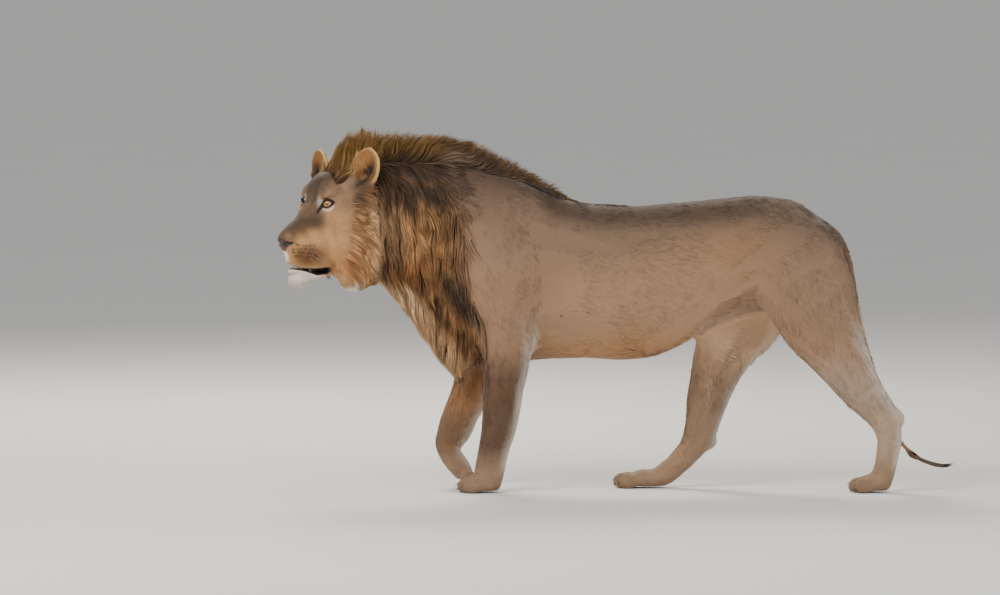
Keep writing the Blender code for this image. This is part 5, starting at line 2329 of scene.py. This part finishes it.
@dataclass
class Grower:
    """Grows strands from roots through the space between the skin and the solids' outline."""

    shape: LionShape
    markings: Markings
    seed: int = 7
    TUFT_ROOT, LOCK_ROOT = 0.0012, 0.002    # how deep in the skin tufts and long hairs start
    CLEAR = 0.0025                          # how far out of the skin long hairs are kept

    def short(self, roots: Roots, length: Array, width: float, lift: Array, spread: float = 0.30,
              tint: tuple = (0.86, 1.0, 1.12), vary: float = 0.10) -> Strands:
        """Short tufts that lie along the skin.

        Args:
            roots: Where they grow.
            length: Of each tuft.
            width: At the root.
            lift: Height of each tip above the skin.
            spread: How far directions scatter.
            tint: Brightness at root, middle and tip.
            vary: How far brightness differs from tuft to tuft.
        Returns:
            The tufts.
        """
        rng = np.random.default_rng(self.seed + len(roots))
        way = Lie.heading(roots.spots) + rng.normal(0, spread, (len(roots), 3)) * 0.5
        way += 0.20 * np.stack([Ripple(0.09, 40 + k).at(roots.place) for k in range(3)], axis=1)
        way = unit(way - roots.normal * (way * roots.normal).sum(axis=1)[:, None])
        length = length * rng.uniform(0.75, 1.25, len(roots))
        lift = lift * rng.uniform(0.6, 1.15, len(roots))
        start = roots.place - roots.normal * self.TUFT_ROOT
        mid = start + way * (length * 0.5)[:, None] + roots.normal * (lift * 0.85)[:, None]
        tip = start + way * length[:, None] + roots.normal * (lift * 0.9)[:, None]
        path = np.stack([start, mid, tip], axis=1)
        across = np.cross(roots.normal, way)
        base = self.markings.colour(roots.spots, roots.normal)
        tone = rng.uniform(1 - vary, 1 + vary, len(roots))[:, None, None] * np.array(tint)[None, :, None]
        widths = (width * rng.uniform(0.75, 1.25, len(roots)))[:, None] * np.array((0.85, 0.95, 0.0))
        return Strands(path, widths, np.repeat(across[:, None], 3, axis=1), base[:, None] * tone, roots.patch,
                       flatness=0.20, shade=unit(roots.normal + 0.12 * way))

    def trace(self, roots: Roots, length: Array, rings: int, out: Array, sway: float, cling: float) -> Array:
        """Paths that leave the skin and then run under the solids' surface.

        Args:
            roots: Where they start.
            length: Of each.
            rings: Points on each path.
            out: How far past the outline each tip ends.
            sway: How strongly they wander.
            cling: How far they keep to the surface where it turns away under them; at 0 they
                stand free until they meet it.
        Returns:
            The paths, strand by ring by axis.
        """
        place = roots.place - roots.normal * self.LOCK_ROOT
        ripples = [Ripple(0.12, 60 + k) for k in range(3)]
        start = self.shape.solid.at(place)
        path = [place]
        stride = length / (rings - 1)
        for ring in range(1, rings):
            t = ring / (rings - 1)
            way = Lie.heading(Spots(place))
            way = way + sway * np.stack([r.at(place) for r in ripples], axis=1)
            face = unit(self.shape.solid.slope(place))
            away = np.maximum((way * face).sum(axis=1), 0) * cling * min(1.0, 1.8 * t)
            way = way - face * away[:, None]
            way = unit(way + roots.normal * max(0.0, 0.9 - 2.6 * t))
            ahead = place + way * stride[:, None]
            goal = start * (1 - t) ** 1.4 + out * min(1.0, 1.4 * t) if cling else out
            slope = unit(self.shape.solid.slope(ahead))
            push = np.clip(goal - self.shape.solid.at(ahead), -0.5 * stride, 0.5 * stride * (cling > 0))
            step = unit(ahead + slope * push[:, None] - place) * stride[:, None]
            place = place + step
            buried = np.clip(self.CLEAR - self.shape.skin.at(place), 0, 0.5 * stride)
            place = place + unit(self.shape.skin.slope(place)) * buried[:, None]
            path.append(place)
        return np.stack(path, axis=1)

    def long(self, roots: Roots, length: Array, width: float, out: Array, rings: int = 7, corners: int = 4,
             lock: float = 0.035, gather: float = 0.6, sway: float = 0.16, tint: tuple = (0.55, 1.0, 1.25),
             cling: float = 0.9) -> Strands:
        """Long hair, gathered in locks.

        Args:
            roots: Where the hairs grow.
            length: Of each.
            width: At the widest.
            out: How far past the outline each tip ends.
            rings: Points along each hair.
            corners: Of its section.
            lock: About the spacing of the locks.
            gather: How far tips draw in to their lock's middle.
            sway: How strongly they wander.
            tint: Brightness at root, middle and tip.
            cling: How far they keep to the surface where it turns away under them.
        Returns:
            The hairs.
        """
        rng = np.random.default_rng(self.seed + 3 * len(roots))
        length = length * rng.uniform(0.72, 1.18, len(roots))
        path = self.trace(roots, length, rings, out, sway, cling)
        leader = nearest_leader(roots.place, lock, rng)
        share = gather * (np.linspace(0, 1, rings) ** 1.3)[None, :, None]
        stay = rng.uniform(0.5, 1.0, len(roots))[:, None, None]
        path = path + (path[leader] - path) * share * stay
        run = np.gradient(path, axis=1)
        flat = path.reshape(-1, 3)
        slope = unit(self.shape.solid.slope(flat)).reshape(path.shape)
        across = np.cross(slope, run) + rng.normal(0, 0.003, (len(roots), 1, 3))
        t = np.linspace(0, 1, rings)
        profile = np.interp(t, (0, 0.25, 0.6, 1.0), (0.75, 1.0, 0.8, 0.0))
        widths = width * rng.uniform(0.6, 1.35, len(roots))[:, None] * profile
        spots = Spots(flat)
        colour = self.markings.colour(spots, slope.reshape(-1, 3)).reshape(path.shape)
        tone = np.interp(t, (0, 0.5, 1.0), tint)[None, :, None]
        each = rng.lognormal(0.0, 0.18, len(roots)) * rng.lognormal(0.0, 0.26, len(roots))[leader]
        return Strands(path, widths, across, colour * tone * each[:, None, None], roots.patch, corners)


def nearest_leader(places: Array, spacing: float, rng: np.random.Generator) -> Array:
    """For each place, a member of its lock that the others gather to.

    Args:
        places: Roots, one a row.
        spacing: Size of a lock.
        rng: Source of chance.
    Returns:
        The number of each place's leader.
    """
    cell = np.floor((places + rng.uniform(0, spacing, 3)) / spacing).astype(np.int64)
    key = cell[:, 0] * 1_000_003 + cell[:, 1] * 1_009 + cell[:, 2]
    order = rng.permutation(len(places))
    _, first, inverse = np.unique(key[order], return_index=True, return_inverse=True)
    leader = np.empty(len(places), np.int64)
    leader[order] = order[first[inverse]]
    return leader


@dataclass
class Pelt:
    """All the hair, region by region."""

    scalp: Scalp
    grower: Grower
    finishes: dict[str, Material]           # the hair's finish in each material slot
    thin: float = 1.0

    def sown(self, share: Array, count: int, seed: int) -> Roots:
        return self.scalp.sow(max(200, int(count * self.thin)), share, seed)

    def joined(self, made: Strands, name: str, slot: str) -> None:
        """Makes a region's hairs into pieces, in the finish of their slot."""
        log.info("%s: %d triangles", name, made.joined(name, self.finishes[slot], slot))

    def body(self) -> None:
        """Short tufts over trunk, legs and tail."""
        s = self.scalp.spots
        density = 1 - np.maximum(Region.mane(s), Region.tuft(s))
        density = density * rise(0.29, 0.33, s.side[:, 0]) * rise(0.004, 0.010, s.body[:, 2])
        density *= 1 + 0.5 * Region.leg(s)
        roots = self.sown(density, count=40_000, seed=101)
        low = rise(0.34, 0.12, roots.spots.body[:, 2])
        length = 0.026 - 0.011 * low
        made = self.grower.short(roots, length, 0.0031, 0.0022 - 0.0008 * low, 0.14, (0.98, 1.0, 1.05), 0.08)
        self.joined(made, "coat_body", "coat")

    def head(self) -> None:
        """The fine short hair of the face and ears."""
        s = self.scalp.spots
        markings, shape = self.grower.markings, Sculpt()
        past, ahead = shape.almond(s)
        bare = np.maximum(markings.leather(s) > 0.15, (past < 0.0075) & (ahead > -0.002))
        bare = bare | ((s.side[:, 2] < -0.078) & (s.side[:, 2] > -0.104) & (s.side[:, 0] < 0.172))
        share = rise(0.36, 0.32, s.side[:, 0]) * (1 - Region.mane(s)) * ~bare
        share *= 1 + 1.2 * rise(0.16, 0.10, s.side[:, 0])
        roots = self.sown(share, count=19_000, seed=102)
        x = roots.spots.side[:, 0]
        eye = rise(0.055, 0.030, shape.eye_gap(roots.spots))
        ear = Region.ear(roots.spots)
        length = (0.0055 + 0.011 * rise(0.08, 0.20, x)) * (1 - 0.45 * eye) * (1 - 0.45 * ear)
        length += 0.010 * rise(-0.100, -0.112, roots.spots.side[:, 2]) * rise(0.19, 0.16, x)
        lift = (0.0009 + 0.0022 * rise(0.06, 0.18, x)) * (1 - 0.5 * eye)
        made = self.grower.short(roots, length, 0.0019 - 0.0007 * eye, lift, 0.12, (0.90, 1.0, 1.08), 0.20)
        self.joined(made, "coat_head", "coat")

    def mane(self) -> None:
        """The long hair of neck and chest."""
        s = self.scalp.spots
        side = s.side - np.column_stack([0.10 * (s.head[:, 1] > 0), s.side[:, 1:] * 0])
        jaw = rise(0.37, 0.34, side[:, 0]) * rise(0.02, -0.02, side[:, 2])
        share = Region.mane(s, 0.03) * (1 - Region.crest(s)) * (1 - jaw)
        roots = self.sown(share, count=17_800, seed=103)
        z = roots.spots.body[:, 2]
        edge = Region.rear_edge(z) - roots.spots.body[:, 0]
        length = 0.125 - 0.035 * rise(1.02, 1.10, z) + 0.02 * rise(0.66, 0.50, z)
        length *= 1 - 0.35 * rise(0.05, -0.03, edge) * rise(0.66, 0.74, z)
        out = roots.scattered(-0.014, 0.003, 31)
        made = self.grower.long(roots, length, 0.0032, out, rings=6, corners=3, lock=0.030, sway=0.20)
        self.joined(made, "mane", "mane")

    def crest(self) -> None:
        """The hair that stands on crown and neck."""
        s = self.scalp.spots
        front = 1 + 2.0 * rise(0.34, 0.30, s.side[:, 0])
        roots = self.sown(Region.mane(s, 0.03) * Region.crest(s) * front, count=6_500, seed=108)
        out = roots.scattered(-0.010, 0.010, 35)
        length = 0.010 + 1.04 * self.room(roots)
        made = self.grower.long(
            roots, length, 0.0030, out, rings=5, corners=3, lock=0.016, gather=0.35,
            sway=0.20, tint=(0.40, 0.95, 1.55), cling=0.0)
        self.joined(made, "crest", "mane")

    def room(self, roots: Roots, limit: float = 0.135) -> Array:
        """How far it is from each root to the outline, the way the hair points.

        Args:
            roots: Where the hairs grow.
            limit: How far it looks.
        Returns:
            The length of each way.
        """
        way = Lie.heading(roots.spots)
        far = np.full(len(roots), 0.03)
        for step in np.arange(0.036, limit, 0.006):
            far = np.where(self.grower.shape.solid.at(roots.place + way * step) < 0, step, far)
        return far

    def ruff(self) -> None:
        """The cheeks' longer hair and the beard under the jaw."""
        s = self.scalp.spots
        far = (s.head[:, 1] > 0) * rise(-0.075, -0.095, s.side[:, 2])
        share = Region.ruff(s) * (1 - Region.mane(s)) * (1 - Region.ear(s)) * (1 - far)
        share *= 1 - (s.head[:, 1] > 0) * rise(-0.02, -0.05, s.side[:, 2]) * rise(0.24, 0.22, s.side[:, 0])
        roots = self.sown(share, count=5_500, seed=104)
        low = rise(0.06, -0.10, roots.spots.side[:, 2])
        length = (0.042 + 0.036 * low) * (1 - 0.60 * rise(-0.095, -0.135, roots.spots.side[:, 2]))
        length *= 1 - 0.5 * low * (roots.spots.head[:, 1] > 0)
        out = roots.scattered(-0.007, 0.002, 32)
        made = self.grower.long(
            roots, length, 0.0024, out, rings=5, corners=3, lock=0.016, gather=0.5,
            sway=0.22, tint=(0.88, 1.0, 1.12))
        self.joined(made, "ruff", "coat")

    def ridge(self) -> None:
        """The strip of hair along the back."""
        s = self.scalp.spots
        share = Region.ridge(s) * (1 - Region.mane(s, 0.03))
        roots = self.sown(share, count=4_200, seed=105)
        x = roots.spots.body[:, 0]
        length = 0.028 + 0.040 * rise(-0.19, -0.26, x)
        out = roots.scattered(-0.008, 0.008, 33)
        made = self.grower.long(
            roots, length, 0.0032, out, rings=4, corners=3, lock=0.014, gather=0.3,
            sway=0.24, tint=(0.42, 1.0, 1.7), cling=0.0)
        self.joined(made, "back_strip", "mane")

    def tail(self) -> None:
        """The dark brush at the end of the tail."""
        roots = self.sown(Region.tuft(self.scalp.spots), count=1_600, seed=106)
        out = roots.scattered(-0.010, 0.001, 34)
        _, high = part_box("tail_tuft")
        room = np.clip(high.x - roots.spots.body[:, 0], 0.03, 0.140)
        made = self.grower.long(
            roots, room / 1.10, 0.0046, out, rings=6, corners=4, lock=0.02, gather=0.30,
            sway=0.10, tint=(0.7, 1.0, 1.2))
        self.joined(made, "tail_brush", "mane")

    def ears(self) -> None:
        """Tufts inside the ears and the fringe of their rims."""
        s = self.scalp.spots
        x, y, z = s.ear.T
        low = rise(0.010, -0.020, z) * rise(0.014, 0.004, x) * rise(0.016, 0.004, y)
        share = Region.ear(s) * (rise(0.84, 0.95, Region.ear_rim(s)) + 0.55 * low)
        roots = self.sown(share, count=2_200, seed=107)
        inner = rise(0.90, 0.75, Region.ear_rim(roots.spots))
        length = 0.007 + 0.021 * inner
        lift = 0.003 + 0.011 * inner
        made = self.grower.short(roots, length, 0.0018, lift, 0.35, (0.9, 1.1, 1.35))
        self.joined(made, "ear_hair", "coat")

    def grow(self) -> None:
        """Grows every region."""
        regions = (self.body, self.head, self.mane, self.crest, self.ruff, self.ridge, self.tail, self.ears)
        for region in regions:
            region()


# ---------------------------------------------------------------- the studio
@dataclass(frozen=True)
class Studio:
    """A pale floor, soft lights and the camera."""

    aim: tuple = (-0.3977, 0.0437, 0.6368)
    distance: float = 60.0
    height_angle: float = math.radians(4.0)
    seen_width: float = 3.30
    sensor: float = 36.0
    lit: tuple = (-0.1, 0.04, 0.6)          # where the lamps look
    LAMPS = (                               # name, place, size, power and tint
        ("key", (-3.2, -4.2, 4.6), 3.0, 330.0, (1.0, 0.965, 0.91)),
        ("fill", (3.6, -4.4, 2.4), 4.0, 110.0, (0.93, 0.96, 1.0)),
        ("edge", (-1.6, 4.2, 4.2), 2.0, 300.0, (1.0, 0.93, 0.82)),
    )

    def camera(self) -> None:
        """Looks along +Y, a little down, from far off."""
        data = bpy.data.cameras.new("camera")
        data.sensor_width = self.sensor
        data.lens = self.sensor * self.distance / self.seen_width
        data.clip_end = 200.0
        made = bpy.data.objects.new("camera", data)
        back = Vector((0.0, -math.cos(self.height_angle), math.sin(self.height_angle)))
        made.location = Vector(self.aim) + back * self.distance
        made.rotation_euler = (-back).to_track_quat("-Z", "Y").to_euler()
        bpy.context.scene.collection.objects.link(made)
        bpy.context.scene.camera = made

    def lamp(self, name: str, place: tuple, size: float, power: float, tint: tuple) -> None:
        """An area light that looks at the animal.

        Args:
            name: Its name.
            place: Where it hangs.
            size: Width of its face.
            power: In watts.
            tint: Its colour.
        """
        data = bpy.data.lights.new(name, "AREA")
        data.size = size
        data.energy = power
        data.color = tint
        made = bpy.data.objects.new(name, data)
        made.location = place
        made.rotation_euler = (Vector(self.lit) - Vector(place)).to_track_quat("-Z", "Y").to_euler()
        bpy.context.scene.collection.objects.link(made)

    def lights(self) -> None:
        """Soft light from above and in front, and a warm edge from behind."""
        for lamp in self.LAMPS:
            self.lamp(*lamp)
        world = bpy.data.worlds.new("studio")
        world.use_nodes = True
        sky = world.node_tree.nodes["Background"].inputs
        sky["Color"].default_value = (0.93, 0.94, 0.96, 1.0)
        sky["Strength"].default_value = 0.55
        bpy.context.scene.world = world

    def floor(self) -> None:
        """A plain pale floor, wide enough to fill every view."""
        reach, steps = 45.0, 30
        side = np.linspace(-reach, reach, steps + 1)
        points = np.array([(x, y, 0.0) for y in side for x in side])
        corner = (np.arange(steps)[:, None] * (steps + 1) + np.arange(steps)).ravel()
        faces = np.column_stack([corner, corner + 1, corner + steps + 2, corner + steps + 1])
        n = Nodes("studio_floor")
        shades = {"Color1": (0.74, 0.72, 0.69, 1), "Color2": (0.78, 0.76, 0.73, 1)}
        mixed = n.add("MixRGB", {"Fac": n.noise(3.0, 4.0), **shades})
        n.set(Base_Color=mixed.outputs["Color"], Roughness=0.9)
        placed("floor", plain_mesh("floor", points, faces), n.material)

    def build(self) -> None:
        """Sets up everything round the animal."""
        self.camera()
        self.lights()
        self.floor()


def main() -> None:
    """Builds the lion piece by piece."""
    logging.basicConfig(level=logging.INFO, format="%(message)s")
    Studio().build()
    markings = Markings()
    shape = LionShape()
    skin = Skin(shape, markings)
    body = skin.build(ShortCoat().material())
    log.info("skin: %d triangles", len(skin.mesh.polygons))
    wet = WetEye().material()
    for node, side in (("eye_left", -1), ("eye_right", 1)):
        Eye(node, side).build(wet)
        log.info("%s", node)
    NosePad(markings).build(skin.mesh, Leather().material())
    Whiskers().build(skin.mesh)
    Claws().build()
    finishes = {"coat": Hair("short_hair").material(), "mane": Hair("mane_hair", 0.55).material()}
    Pelt(Scalp.of(body), Grower(shape, markings), finishes, 1.0).grow()


if __name__ == "__main__":
    main()
